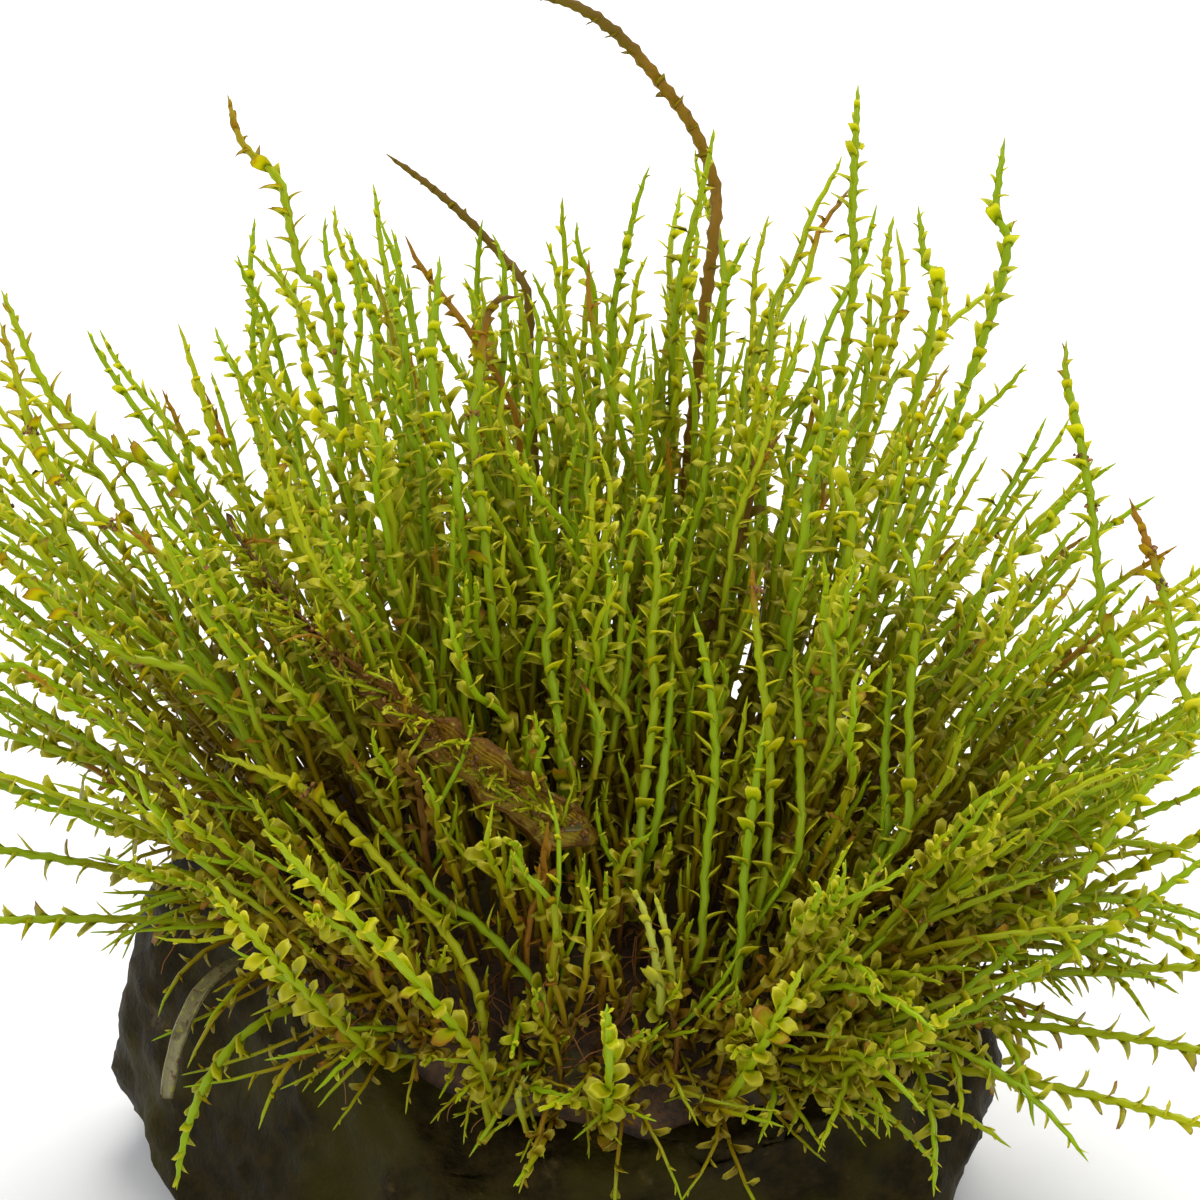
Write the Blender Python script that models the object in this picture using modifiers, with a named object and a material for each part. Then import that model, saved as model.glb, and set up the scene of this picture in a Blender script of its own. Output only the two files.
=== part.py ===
"""Moss clump on a small stone.

A loose stone with a flat underside carries a thin brown mat of rhizoids, and the mat
carries leafy shoots that stand in tufts. Each tuft is one closed form that reaches the
tips of its shoots. Loose shoots at the rim, and the dead leaf and stems that are caught
in the clump, are pieces of their own.

Metres, +Z up, +X to the right, the front of the clump towards -Y. The origin is on the
stone's flat underside. Azimuths are in degrees from +X (right) through +Y (back).
"""
import math

import bmesh
import bpy
from mathutils import Vector, noise

MM = 0.001
GAP = 0.3 * MM                        # air between neighbouring pieces

# The stone: a squarish ellipsoid with broken faces, flat underneath
STONE_CENTRE = Vector((-0.75 * MM, 0.2 * MM, 2.7 * MM))
STONE_SEMI_AXES = (7.5 * MM, 6.2 * MM, 3.9 * MM)
STONE_SQUARENESS = 0.8                # 1 is an ellipsoid, smaller is boxier
STONE_BUMPS = ((0.55 * MM, 3.6 * MM), (0.25 * MM, 1.5 * MM), (0.1 * MM, 0.7 * MM))
BREAK_FACES = (                       # outward direction, distance from the stone's centre
    ((-0.76, -0.62, 0.18), 5.5 * MM),
    ((-0.93, 0.25, 0.28), 7.0 * MM),
    ((0.42, -0.90, -0.10), 6.0 * MM),
    ((0.90, 0.30, 0.30), 6.4 * MM),
    ((-0.25, 0.95, 0.20), 6.0 * MM),
    ((0.05, -0.80, 0.60), 5.6 * MM),
)
BREAK_SHARPNESS = 0.85                # how far a point beyond a break face is drawn back to it
STONE_SUBDIVISIONS = 4
CUT_TOLERANCE = 0.02 * MM             # corners this near the flat cut are moved onto it

# The dome on which the mat lies: highest in the middle, falling to the right and the front
DOME_HEIGHT = 5.9 * MM
DOME_SLOPE_RIGHT = 0.11
DOME_SAG_X = 0.7 * MM
DOME_SAG_Y = 1.5 * MM
DOME_SAG_FRONT = 0.4 * MM

# Where the moss is rooted: an oval, and how far the mat runs past it
MOSS_CENTRE = (-0.3 * MM, -0.1 * MM)
MOSS_RADII = (5.6 * MM, 5.1 * MM)
MAT_REACH = 1.04
MAT_THICKNESS = 0.9 * MM
MAT_EDGE = 0.3 * MM
MAT_SEGMENTS = 28
MAT_RINGS = 10
MAT_RIM_SIDE = -0.01                  # points of the ball below this make the mat's underside

# How the shoots grow: upright in the middle, leaning outwards more and more to the rim
LEAN_MEAN = 44.0
LEAN_SIDEWAYS = 11.0                  # more at the left and right, less at the front and back
LEAN_POWER = 1.5
LEAN_AT_ROOT = 0.8                    # share of the lean at the root and at the tip
LEAN_AT_TIP = 1.1
LENGTH_MIDDLE = 11.4 * MM
LENGTH_FALL = 3.0 * MM                # how much shorter the rim shoots are
LENGTH_FALL_BACK = 1.2 * MM           # less of that at the back, more at the front

# Tufts: inner and outer radius in the oval, azimuth, half width in degrees, crown height
TUFTS = {
    "tuft_center": (0.0, 0.25, 0.0, 180.0, 0.62),
    "tuft_inner_right": (0.30, 0.56, 0.0, 45.0, 0.74),
    "tuft_inner_back": (0.30, 0.56, 90.0, 45.0, 0.80),
    "tuft_inner_left": (0.30, 0.56, 180.0, 45.0, 0.80),
    "tuft_inner_front": (0.30, 0.56, 270.0, 45.0, 0.58),
    "tuft_rim_right": (0.66, 1.0, 0.0, 22.5, 0.95),
    "tuft_rim_back_right": (0.66, 1.0, 45.0, 22.5, 1.05),
    "tuft_rim_back": (0.66, 1.0, 90.0, 22.5, 1.08),
    "tuft_rim_back_left": (0.66, 1.0, 135.0, 22.5, 1.02),
    "tuft_rim_left": (0.66, 1.0, 180.0, 22.5, 0.98),
    "tuft_rim_front_left": (0.66, 1.0, 225.0, 22.5, 0.74),
    "tuft_rim_front": (0.66, 1.0, 270.0, 22.5, 0.64),
    "tuft_rim_front_right": (0.66, 1.0, 315.0, 22.5, 0.76),
}
TUFT_SEGMENTS = 14
TUFT_RINGS = 10
TUFT_SQUARENESS = 0.5                 # of a tuft's outline in the oval
TUFT_SIDE_AIR = 0.6                   # shares of the gap that a tuft leaves at each side
TUFT_FOOT = 1.0 / TUFT_RINGS          # share of the form's rings that makes its foot
TUFT_TAPER_POWER = 4.5
TUFT_CROWN_POWER = 0.62
LOCK_COUNT = 3                        # ridges round a tuft, where its shoots draw together
LOCK_DEPTH = 0.16
CROWN_RAGGEDNESS = 0.16               # how unevenly high the crown is
CROWN_PATCH = 0.8                     # size of its high and low patches

# Loose shoots: root azimuth, heading at root and tip, lean at root and tip, length
LOOSE_ROOT_RADIUS = 1.14              # in the oval, just outside the tufts
LOOSE_SHOOTS = {
    "shoot_left_1": (167.0, 165.0, 172.0, 60.0, 68.0, 6.6 * MM),
    "shoot_left_2": (180.0, 181.0, 184.0, 66.0, 76.0, 6.2 * MM),
    "shoot_left_3": (192.0, 190.0, 180.0, 72.0, 84.0, 5.9 * MM),
    "shoot_left_4": (203.0, 200.0, 186.0, 76.0, 92.0, 5.2 * MM),
    "shoot_hanging_left": (224.0, 216.0, 246.0, 82.0, 168.0, 4.2 * MM),
    "shoot_front_1": (241.0, 236.0, 214.0, 48.0, 34.0, 6.4 * MM),
    "shoot_crossing_front": (257.0, 262.0, 176.0, 34.0, 42.0, 8.2 * MM),
    "shoot_front_2": (273.0, 276.0, 266.0, 50.0, 30.0, 5.2 * MM),
    "shoot_front_3": (289.0, 292.0, 300.0, 46.0, 30.0, 5.6 * MM),
    "shoot_front_4": (303.0, 306.0, 316.0, 56.0, 48.0, 5.4 * MM),
    "shoot_trailing_right_1": (317.0, 336.0, 340.0, 84.0, 100.0, 6.6 * MM),
    "shoot_trailing_right_2": (329.0, 342.0, 348.0, 82.0, 100.0, 6.4 * MM),
    "shoot_trailing_right_3": (341.0, 352.0, 2.0, 80.0, 92.0, 6.2 * MM),
    "shoot_right_1": (354.0, 356.0, 10.0, 66.0, 60.0, 6.4 * MM),
    "shoot_right_2": (14.0, 14.0, 20.0, 60.0, 52.0, 6.8 * MM),
    "shoot_back_1": (52.0, 50.0, 44.0, 50.0, 42.0, 6.6 * MM),
    "shoot_back_2": (83.0, 84.0, 90.0, 46.0, 36.0, 6.6 * MM),
    "shoot_back_3": (118.0, 118.0, 124.0, 48.0, 40.0, 6.6 * MM),
    "shoot_back_4": (148.0, 150.0, 156.0, 56.0, 50.0, 6.4 * MM),
}
SHOOT_RADIUS = 0.25 * MM              # stem and leaves together
SHOOT_POINTS = 11
SHOOT_ROOT_TAPER = 0.45               # share of the radius at the root and at the tip
SHOOT_TIP_TAPER = 0.3
SHOOT_ROOT_RATE = 4.0                 # full radius is reached after a quarter from the root
SHOOT_TIP_RATE = 3.0                  # and kept until a third from the tip

# Pieces caught between the inner and the rim tufts
SEAM_RADIUS = 0.61
LEAF_STRAP_AZIMUTHS = (184.0, 274.0)
LEAF_STRAP_HEIGHTS = (0.60, 0.20)     # shares of the shoots' length
LEAF_STRAP_WIDTH = 0.8 * MM
LEAF_THICKNESS = 0.12 * MM
LEAF_STRAP_STATIONS = 15
LEAF_STRAP_NARROWING = (0.35, 0.12, 0.90)   # least share of the width, and the stretch of the bulge
LOOK_AHEAD = 0.05                     # a little further up the shoots, to find their direction

ARCH_AZIMUTH = 68.0
ARCH_HEIGHTS = (0.08, 0.86)
ARCH_TOP = (
    (1.95 * MM, 5.6 * MM, 15.9 * MM),
    (1.60 * MM, 5.7 * MM, 16.9 * MM),
    (1.00 * MM, 5.7 * MM, 17.8 * MM),
    (0.35 * MM, 5.7 * MM, 18.6 * MM),
    (-0.40 * MM, 5.6 * MM, 19.2 * MM),
    (-1.30 * MM, 5.5 * MM, 19.5 * MM),
)
ARCH_RADIUS = 0.15 * MM

THIN_STEM_AZIMUTH = 100.0
THIN_STEM_HEIGHTS = (0.08, 0.74)
THIN_STEM_TOP = (
    (-1.75 * MM, 5.5 * MM, 14.8 * MM),
    (-2.60 * MM, 5.8 * MM, 15.6 * MM),
    (-3.60 * MM, 6.1 * MM, 16.3 * MM),
)
THIN_STEM_RADIUS = 0.11 * MM
STEM_STATIONS = 7                     # on the stretch between the tufts
STEM_TAPER = 0.5                      # share of the radius at both ends
STEM_ROOT_RATE = 3.0
STEM_TIP_RATE = 4.0

PALE_BLADE_ROOT_AZIMUTH = 210.0
PALE_BLADE_HEADINGS = (216.0, 262.0)
PALE_BLADE_LEANS = (96.0, 150.0)
PALE_BLADE_LENGTH = 3.0 * MM
PALE_BLADE_WIDTH = 0.4 * MM
PALE_BLADE_STATIONS = 10
PALE_BLADE_NARROWING = (0.30, 0.20, 0.88)

COLOURS = {                           # base colour, roughness
    "stone": ((0.045, 0.036, 0.026), 0.8),
    "mat": ((0.090, 0.045, 0.012), 0.9),
    "tuft": ((0.200, 0.280, 0.020), 0.5),
    "shoot": ((0.300, 0.400, 0.040), 0.45),
    "dead": ((0.160, 0.080, 0.020), 0.6),
    "pale": ((0.420, 0.380, 0.200), 0.6),
}


# ---------------------------------------------------------------- helpers
def clear_scene():
    """Removes every object, mesh and curve that the file came with."""
    for old in list(bpy.data.objects):
        bpy.data.objects.remove(old, do_unlink=True)
    for blocks in (bpy.data.meshes, bpy.data.curves):
        for block in list(blocks):
            blocks.remove(block)


def make_collection(name):
    """The collection that holds the clump's pieces."""
    collection = bpy.data.collections.new(name)
    bpy.context.scene.collection.children.link(collection)
    return collection


def make_material(name, finish):
    """A plain Principled material in one of the clump's colours."""
    colour, roughness = COLOURS[finish]
    material = bpy.data.materials.new(name)
    material.use_nodes = True
    shader = material.node_tree.nodes["Principled BSDF"]
    shader.inputs["Base Color"].default_value = (*colour, 1.0)
    shader.inputs["Roughness"].default_value = roughness
    shader.inputs["Metallic"].default_value = 0.0
    material.diffuse_color = (*colour, 1.0)
    return material


def add_object(name, data, finish, collection):
    """Puts a mesh or curve in the scene under its piece's name."""
    data.materials.append(make_material(name + "_finish", finish))
    piece = bpy.data.objects.new(name, data)
    collection.objects.link(piece)
    return piece


def add_bmesh(name, bm, finish, collection):
    """Turns a bmesh into a smooth-shaded object and frees the bmesh."""
    mesh = bpy.data.meshes.new(name)
    bm.to_mesh(mesh)
    bm.free()
    mesh.shade_smooth()
    return add_object(name, mesh, finish, collection)


def blend(start, end, share):
    """The value that lies at a share of the way from start to end."""
    return start + (end - start) * share


def signed_power(value, power):
    """A power that keeps the sign, which squares up a circle or a sphere."""
    return math.copysign(abs(value) ** power, value)


def bulge(narrowing, share):
    """A strip's share of its full width: part of a sine wave on top of a least width."""
    least, start, end = narrowing
    return least + (1.0 - least) * math.sin(math.pi * blend(start, end, share))


# ---------------------------------------------------------------- the ground and the growth
def oval_point(radius, azimuth):
    """Plan position of a point in the moss's oval; radius 1 is its rim."""
    angle = math.radians(azimuth)
    x = MOSS_CENTRE[0] + MOSS_RADII[0] * radius * math.cos(angle)
    y = MOSS_CENTRE[1] + MOSS_RADII[1] * radius * math.sin(angle)
    return x, y


def dome(x, y):
    """Height of the dome under the mat."""
    across = (x - MOSS_CENTRE[0]) / MOSS_RADII[0]
    along = (y - MOSS_CENTRE[1]) / MOSS_RADII[1]
    sag = DOME_SAG_X * across ** 2 + (DOME_SAG_Y - DOME_SAG_FRONT * along) * along ** 2
    return DOME_HEIGHT - DOME_SLOPE_RIGHT * x - sag


def mat_top(x, y, radius):
    """Height of the mat's upper face at a radius in the oval."""
    flatness = max(0.0, 1.0 - (radius / MAT_REACH) ** 2)
    return dome(x, y) + MAT_EDGE + (MAT_THICKNESS - MAT_EDGE) * math.sqrt(flatness)


def heading_vector(heading, lean):
    """Unit vector that leans from the vertical towards a heading, both in degrees."""
    turn = math.radians(heading)
    tilt = math.radians(lean)
    flat = math.sin(tilt)
    return Vector((flat * math.cos(turn), flat * math.sin(turn), math.cos(tilt)))


def growth(radius, azimuth, height):
    """The point at a height (0 root, 1 tip) on the shoot rooted at a place in the oval.

    A shoot is a quadratic arc: half its length leaves the root at one lean, and the other
    half arrives at the tip at a slightly stronger one.
    """
    x, y = oval_point(radius, azimuth)
    root = Vector((x, y, mat_top(x, y, radius) + GAP))
    angle = math.radians(azimuth)
    lean = (LEAN_MEAN + LEAN_SIDEWAYS * math.cos(2.0 * angle)) * radius ** LEAN_POWER
    length = LENGTH_MIDDLE - (LENGTH_FALL - LENGTH_FALL_BACK * math.sin(angle)) * radius ** 2
    knee = 0.5 * length * heading_vector(azimuth, lean * LEAN_AT_ROOT)
    tip = knee + 0.5 * length * heading_vector(azimuth, lean * LEAN_AT_TIP)
    return root + 2.0 * height * (1.0 - height) * knee + height ** 2 * tip


def wandering_path(root, headings, leans, length, count):
    """Points along a shoot whose heading and lean change evenly from root to tip."""
    points = [root]
    step = length / (count - 1)
    for index in range(count - 1):
        share = (index + 0.5) / (count - 1)
        heading = blend(*headings, share)
        lean = blend(*leans, share)
        points.append(points[-1] + step * heading_vector(heading, lean))
    return points


# ---------------------------------------------------------------- the stone and the mat
def stone_point(direction):
    """Where the stone's surface lies in one direction from its centre, before the dome."""
    point = Vector([axis * signed_power(part, STONE_SQUARENESS)
                    for axis, part in zip(STONE_SEMI_AXES, direction)])
    for height, size in STONE_BUMPS:
        point += direction * height * noise.noise(point / size)
    for outward, distance in BREAK_FACES:
        face = Vector(outward).normalized()
        beyond = point.dot(face) - distance
        if beyond > 0.0:
            point -= face * beyond * BREAK_SHARPNESS
    return point + STONE_CENTRE


def build_stone(collection):
    """The stone: bumps, broken faces, a top that fits under the mat, and a flat cut."""
    bm = bmesh.new()
    bmesh.ops.create_icosphere(bm, subdivisions=STONE_SUBDIVISIONS, radius=1.0)
    for vertex in bm.verts:
        point = stone_point(vertex.co.normalized())
        point.z = min(point.z, dome(point.x, point.y) - GAP)
        vertex.co = point
    everything = bm.verts[:] + bm.edges[:] + bm.faces[:]
    bmesh.ops.bisect_plane(bm, geom=everything, dist=CUT_TOLERANCE, plane_co=(0.0, 0.0, 0.0),
                           plane_no=(0.0, 0.0, -1.0), clear_outer=True)
    for vertex in bm.verts:
        vertex.co.z = max(vertex.co.z, 0.0)
    rim = [edge for edge in bm.edges if edge.is_boundary]
    bmesh.ops.edgeloop_fill(bm, edges=rim)
    bmesh.ops.recalc_face_normals(bm, faces=bm.faces[:])
    return add_bmesh("stone", bm, "stone", collection)


def build_mat(collection):
    """The rhizoid mat: a flattened ball whose underside follows the dome."""
    bm = bmesh.new()
    bmesh.ops.create_uvsphere(bm, u_segments=MAT_SEGMENTS, v_segments=MAT_RINGS, radius=1.0)
    for vertex in bm.verts:
        side = vertex.co.copy()
        radius = min(1.0, math.hypot(side.x, side.y)) * MAT_REACH
        x, y = oval_point(radius, math.degrees(math.atan2(side.y, side.x)))
        if side.z >= MAT_RIM_SIDE:
            height = mat_top(x, y, radius)
        else:
            height = dome(x, y)
        vertex.co = (x, y, height)
    return add_bmesh("rhizoid_mat", bm, "mat", collection)


# ---------------------------------------------------------------- the tufts
def tuft_cell(name, around, width):
    """A tuft's outline in the oval, narrowed to a width, at an angle round the tuft."""
    inner, outer, azimuth, half_angle, _ = TUFTS[name]
    if inner == 0.0:
        return outer * width, math.degrees(around)
    middle = 0.5 * (inner + outer)
    air = math.degrees(TUFT_SIDE_AIR * GAP / (inner * min(MOSS_RADII)))
    radius = middle + 0.5 * (outer - inner) * width * signed_power(math.cos(around), TUFT_SQUARENESS)
    swing = (half_angle - air) * width * signed_power(math.sin(around), TUFT_SQUARENESS)
    return radius, azimuth + swing


def build_tuft(name, collection):
    """One tuft: a ball whose rings climb the shoots and whose crown draws in to a point."""
    bm = bmesh.new()
    bmesh.ops.create_uvsphere(bm, u_segments=TUFT_SEGMENTS, v_segments=TUFT_RINGS, radius=1.0)
    azimuth, crown = TUFTS[name][2], TUFTS[name][4]
    for vertex in bm.verts:
        side = vertex.co.normalized()
        climb = math.acos(max(-1.0, min(1.0, -side.z))) / math.pi
        around = math.atan2(side.y, side.x)
        height = max(0.0, (climb - TUFT_FOOT) / (1.0 - TUFT_FOOT))
        width = max(0.0, 1.0 - height ** TUFT_TAPER_POWER) ** TUFT_CROWN_POWER
        width *= min(1.0, climb / TUFT_FOOT)
        ridge = 0.5 + 0.5 * math.cos(LOCK_COUNT * around + azimuth)
        width *= 1.0 - LOCK_DEPTH * height * ridge
        patch = Vector((side.x, side.y, azimuth)) / CROWN_PATCH
        ragged = 1.0 + CROWN_RAGGEDNESS * noise.noise(patch)
        radius, bearing = tuft_cell(name, around, width)
        vertex.co = growth(radius, bearing, height * crown * ragged)
    return add_bmesh(name, bm, "tuft", collection)


# ---------------------------------------------------------------- shoots, stems and blades
def add_tube(name, points, radii, finish, collection):
    """A thin round piece along a path, with its own radius at every point."""
    curve = bpy.data.curves.new(name, "CURVE")
    curve.dimensions = "3D"
    curve.bevel_depth = 1.0
    curve.bevel_resolution = 1
    curve.use_fill_caps = True
    spline = curve.splines.new("POLY")
    spline.points.add(len(points) - 1)
    for slot, point, radius in zip(spline.points, points, radii):
        slot.co = (*point, 1.0)
        slot.radius = radius
    spline.use_smooth = True
    return add_object(name, curve, finish, collection)


def add_blade(name, centres, sides, finish, collection):
    """A thin flat piece: a strip of quads along a path, given its thickness by Solidify."""
    bm = bmesh.new()
    rows = []
    for centre, side in zip(centres, sides):
        rows.append([bm.verts.new(centre + side * across) for across in (-0.5, 0.0, 0.5)])
    for row, following in zip(rows, rows[1:]):
        for column in range(2):
            bm.faces.new((row[column], row[column + 1], following[column + 1], following[column]))
    piece = add_bmesh(name, bm, finish, collection)
    wall = piece.modifiers.new("thickness", "SOLIDIFY")
    wall.thickness = LEAF_THICKNESS
    wall.offset = 0.0
    return piece


def build_loose_shoot(name, collection):
    """A shoot at the rim that stands clear of the tufts, thin at its root and its tip."""
    azimuth, heading_root, heading_tip, lean_root, lean_tip, length = LOOSE_SHOOTS[name]
    x, y = oval_point(LOOSE_ROOT_RADIUS, azimuth)
    root = Vector((x, y, dome(x, y) + GAP + 0.5 * SHOOT_RADIUS))
    headings = (heading_root, heading_tip)
    if heading_tip - heading_root < -180.0:
        headings = (heading_root, heading_tip + 360.0)
    path = wandering_path(root, headings, (lean_root, lean_tip), length, SHOOT_POINTS)
    radii = []
    for index in range(SHOOT_POINTS):
        share = index / (SHOOT_POINTS - 1)
        root_end = blend(SHOOT_ROOT_TAPER, 1.0, min(1.0, SHOOT_ROOT_RATE * share))
        tip_end = blend(SHOOT_TIP_TAPER, 1.0, min(1.0, SHOOT_TIP_RATE * (1.0 - share)))
        radii.append(SHOOT_RADIUS * min(root_end, tip_end))
    return add_tube(name, path, radii, "shoot", collection)


def build_seam_stem(name, azimuth, heights, top, radius, collection):
    """A dead stem that climbs between the tufts and bends over above them."""
    path = []
    for index in range(STEM_STATIONS):
        height = blend(*heights, index / (STEM_STATIONS - 1))
        path.append(growth(SEAM_RADIUS, azimuth, height))
    path += [Vector(point) for point in top]
    last = len(path) - 1
    radii = []
    for index in range(last + 1):
        share = index / last
        fullness = min(1.0, STEM_ROOT_RATE * share, STEM_TIP_RATE * (1.0 - share))
        radii.append(radius * blend(STEM_TAPER, 1.0, fullness))
    return add_tube(name, path, radii, "dead", collection)


def build_leaf_strap(collection):
    """The dead leaf: a strap between the inner and the rim tufts, on edge, round the front left."""
    centres = []
    sides = []
    for index in range(LEAF_STRAP_STATIONS):
        share = index / (LEAF_STRAP_STATIONS - 1)
        azimuth = blend(*LEAF_STRAP_AZIMUTHS, share)
        height = blend(*LEAF_STRAP_HEIGHTS, share)
        centre = growth(SEAM_RADIUS, azimuth, height)
        upward = growth(SEAM_RADIUS, azimuth, height + LOOK_AHEAD) - centre
        centres.append(centre)
        sides.append(upward.normalized() * LEAF_STRAP_WIDTH * bulge(LEAF_STRAP_NARROWING, share))
    return add_blade("dead_leaf_strap", centres, sides, "dead", collection)


def build_pale_blade(collection):
    """The pale blade that lies against the left front of the stone, below the mat."""
    x, y = oval_point(LOOSE_ROOT_RADIUS, PALE_BLADE_ROOT_AZIMUTH)
    root = Vector((x, y, dome(x, y) + GAP))
    centres = wandering_path(root, PALE_BLADE_HEADINGS, PALE_BLADE_LEANS, PALE_BLADE_LENGTH,
                             PALE_BLADE_STATIONS)
    sides = []
    for index in range(PALE_BLADE_STATIONS):
        share = index / (PALE_BLADE_STATIONS - 1)
        across = heading_vector(blend(*PALE_BLADE_HEADINGS, share) + 90.0, 90.0)
        sides.append(across * PALE_BLADE_WIDTH * bulge(PALE_BLADE_NARROWING, share))
    return add_blade("pale_leaf_blade", centres, sides, "pale", collection)


# ---------------------------------------------------------------- the clump
def build_clump():
    """Makes every piece of the clump."""
    clear_scene()
    collection = make_collection("moss_clump")
    build_stone(collection)
    build_mat(collection)
    for name in TUFTS:
        build_tuft(name, collection)
    for name in LOOSE_SHOOTS:
        build_loose_shoot(name, collection)
    build_leaf_strap(collection)
    build_seam_stem("dead_arching_stem", ARCH_AZIMUTH, ARCH_HEIGHTS, ARCH_TOP, ARCH_RADIUS,
                    collection)
    build_seam_stem("dead_thin_stem", THIN_STEM_AZIMUTH, THIN_STEM_HEIGHTS, THIN_STEM_TOP,
                    THIN_STEM_RADIUS, collection)
    build_pale_blade(collection)


build_clump()
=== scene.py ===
# %% [markdown]
# # A moss clump on a small stone
# The object is a dense clump of thread-fine leafy moss, about as wide as a thumbnail, that
# grows from a brown mat of rhizoids on a loose dark stone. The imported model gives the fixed
# places: the stone, the mat, thirteen tufts and the loose shoots at the rim. This script
# grows the real shoots, leaf by leaf, in the room that each of those solids holds.

# %% Load the fixed frame
import math

import bmesh
import bpy
import numpy as np
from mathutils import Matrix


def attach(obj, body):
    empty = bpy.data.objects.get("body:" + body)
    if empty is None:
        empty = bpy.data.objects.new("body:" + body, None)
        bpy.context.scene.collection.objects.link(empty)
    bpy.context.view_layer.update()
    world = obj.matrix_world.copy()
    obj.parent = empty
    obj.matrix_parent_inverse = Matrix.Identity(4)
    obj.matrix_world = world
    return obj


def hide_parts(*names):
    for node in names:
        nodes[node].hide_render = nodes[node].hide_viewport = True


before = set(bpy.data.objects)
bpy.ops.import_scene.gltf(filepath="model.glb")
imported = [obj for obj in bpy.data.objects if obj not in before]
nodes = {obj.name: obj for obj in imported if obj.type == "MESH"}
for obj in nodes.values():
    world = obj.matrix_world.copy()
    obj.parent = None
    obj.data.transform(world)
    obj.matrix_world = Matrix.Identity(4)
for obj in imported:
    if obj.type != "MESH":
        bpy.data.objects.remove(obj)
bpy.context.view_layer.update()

MM = 0.001

# %% [markdown]
# ## Small tools
# Everything below is worked out with whole arrays. These helpers blend between two values,
# make vectors one long, and make smooth random bumps from a lattice of random numbers. The
# bumps serve for the stone, the mat and anything else that must not look machine-made.

# %% Array helpers
def blend(start, end, share):
    """The value a share of the way from start to end."""
    return start + (end - start) * share


def smooth(low, high, value):
    """0 below low, 1 above high, and an S-curve between: 3t^2 - 2t^3."""
    share = np.clip((value - low) / (high - low), 0.0, 1.0)
    return share * share * (3.0 - 2.0 * share)


def unit(vectors):
    """Each vector divided by its length."""
    return vectors / np.maximum(np.linalg.norm(vectors, axis=-1, keepdims=True), 1e-12)


def lattice_bumps(points, size, seed):
    """Smooth noise from -1 to 1: a random number at each lattice corner, blended in between."""
    place = points / size + 1000.0
    corner_low = np.floor(place).astype(np.int64)
    share = place - corner_low
    share = share * share * (3.0 - 2.0 * share)
    total = np.zeros(points.shape[:-1])
    for corner in np.ndindex(2, 2, 2):
        at = corner_low + np.array(corner)
        mixed = at[..., 0] * 73856093 + at[..., 1] * 19349663 + at[..., 2] * 83492791 + seed * 7919
        mixed = (mixed ^ (mixed >> 13)) * 1274126177 & 0xFFFFFFF
        value = (mixed ^ (mixed >> 14)) % 20001 / 10000.0 - 1.0
        weight = np.prod(np.where(np.array(corner) == 1, share, 1.0 - share), axis=-1)
        total += weight * value
    return total


# %% [markdown]
# ## From arrays to a mesh
# A heap collects many copies of a small grid (a stem, a leaf) and becomes one mesh at the
# end. That is how thousands of leaves stay quick to make. Each point also carries four
# numbers, its paint: age (0 old, 1 young), tone, horn (0 on a stem, 1 at a leaf's rim and
# tips), and how dead it is. The materials read the paint, so colour follows the plant.

# %% The heap, and how a piece is handed to the frame
class Heap:
    """Many copies of small point grids, with their faces and paint, to be one mesh."""

    def __init__(self):
        self.points, self.paint, self.quads, self.tris = [], [], [], []
        self.count = 0

    def add(self, points, paint, quads, tris=None):
        """points is (copies, n, 3), paint is (copies, n, 4); faces index one copy's points."""
        copies, number = points.shape[:2]
        first = self.count + number * np.arange(copies)[:, None, None]
        self.points.append(points.reshape(-1, 3))
        self.paint.append(np.broadcast_to(paint, (copies, number, 4)).reshape(-1, 4))
        self.quads.append((first + quads).reshape(-1, 4))
        if tris is not None:
            self.tris.append((first + tris).reshape(-1, 3))
        self.count += copies * number

    def mesh(self, name):
        """One mesh of all that was added, shaded smooth, with the paint as an attribute."""
        points = np.concatenate(self.points)
        quads = np.concatenate(self.quads)
        tris = np.concatenate(self.tris) if self.tris else np.zeros((0, 3), np.int64)
        mesh = bpy.data.meshes.new(name)
        mesh.vertices.add(len(points))
        mesh.vertices.foreach_set("co", points.astype(np.float32).ravel())
        corners = np.concatenate([quads.ravel(), tris.ravel()]).astype(np.int32)
        starts = np.concatenate([4 * np.arange(len(quads)), 4 * len(quads) + 3 * np.arange(len(tris))])
        mesh.loops.add(len(corners))
        mesh.loops.foreach_set("vertex_index", corners)
        mesh.polygons.add(len(starts))
        mesh.polygons.foreach_set("loop_start", starts.astype(np.int32))
        mesh.update(calc_edges=True)
        mesh.shade_smooth()
        paint = mesh.color_attributes.new("growth", "FLOAT_COLOR", "POINT")
        paint.data.foreach_set("color", np.concatenate(self.paint).astype(np.float32).ravel())
        return mesh


triangle_count = {}


def hand_over(name, mesh, material, stands_for):
    """Puts a mesh in the scene as a piece that rides on the root body and replaces CAD nodes."""
    mesh.materials.append(material)
    piece = bpy.data.objects.new(name, mesh)
    bpy.context.scene.collection.objects.link(piece)
    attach(piece, "root")
    if stands_for:
        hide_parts(*stands_for)
    triangle_count[name] = len(mesh.loops) - 2 * len(mesh.polygons)


# %% [markdown]
# ## How the moss grows
# The solids were shaped by one rule: a shoot stands upright in the middle of the clump and
# leans outwards more and more towards the rim, most of all to the left and right. Rim shoots
# are shorter. The script uses the same rule, so the shoots fill the room of the solids. The
# roots sit on a dome that is highest in the middle and falls to the right and the front.

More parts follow.
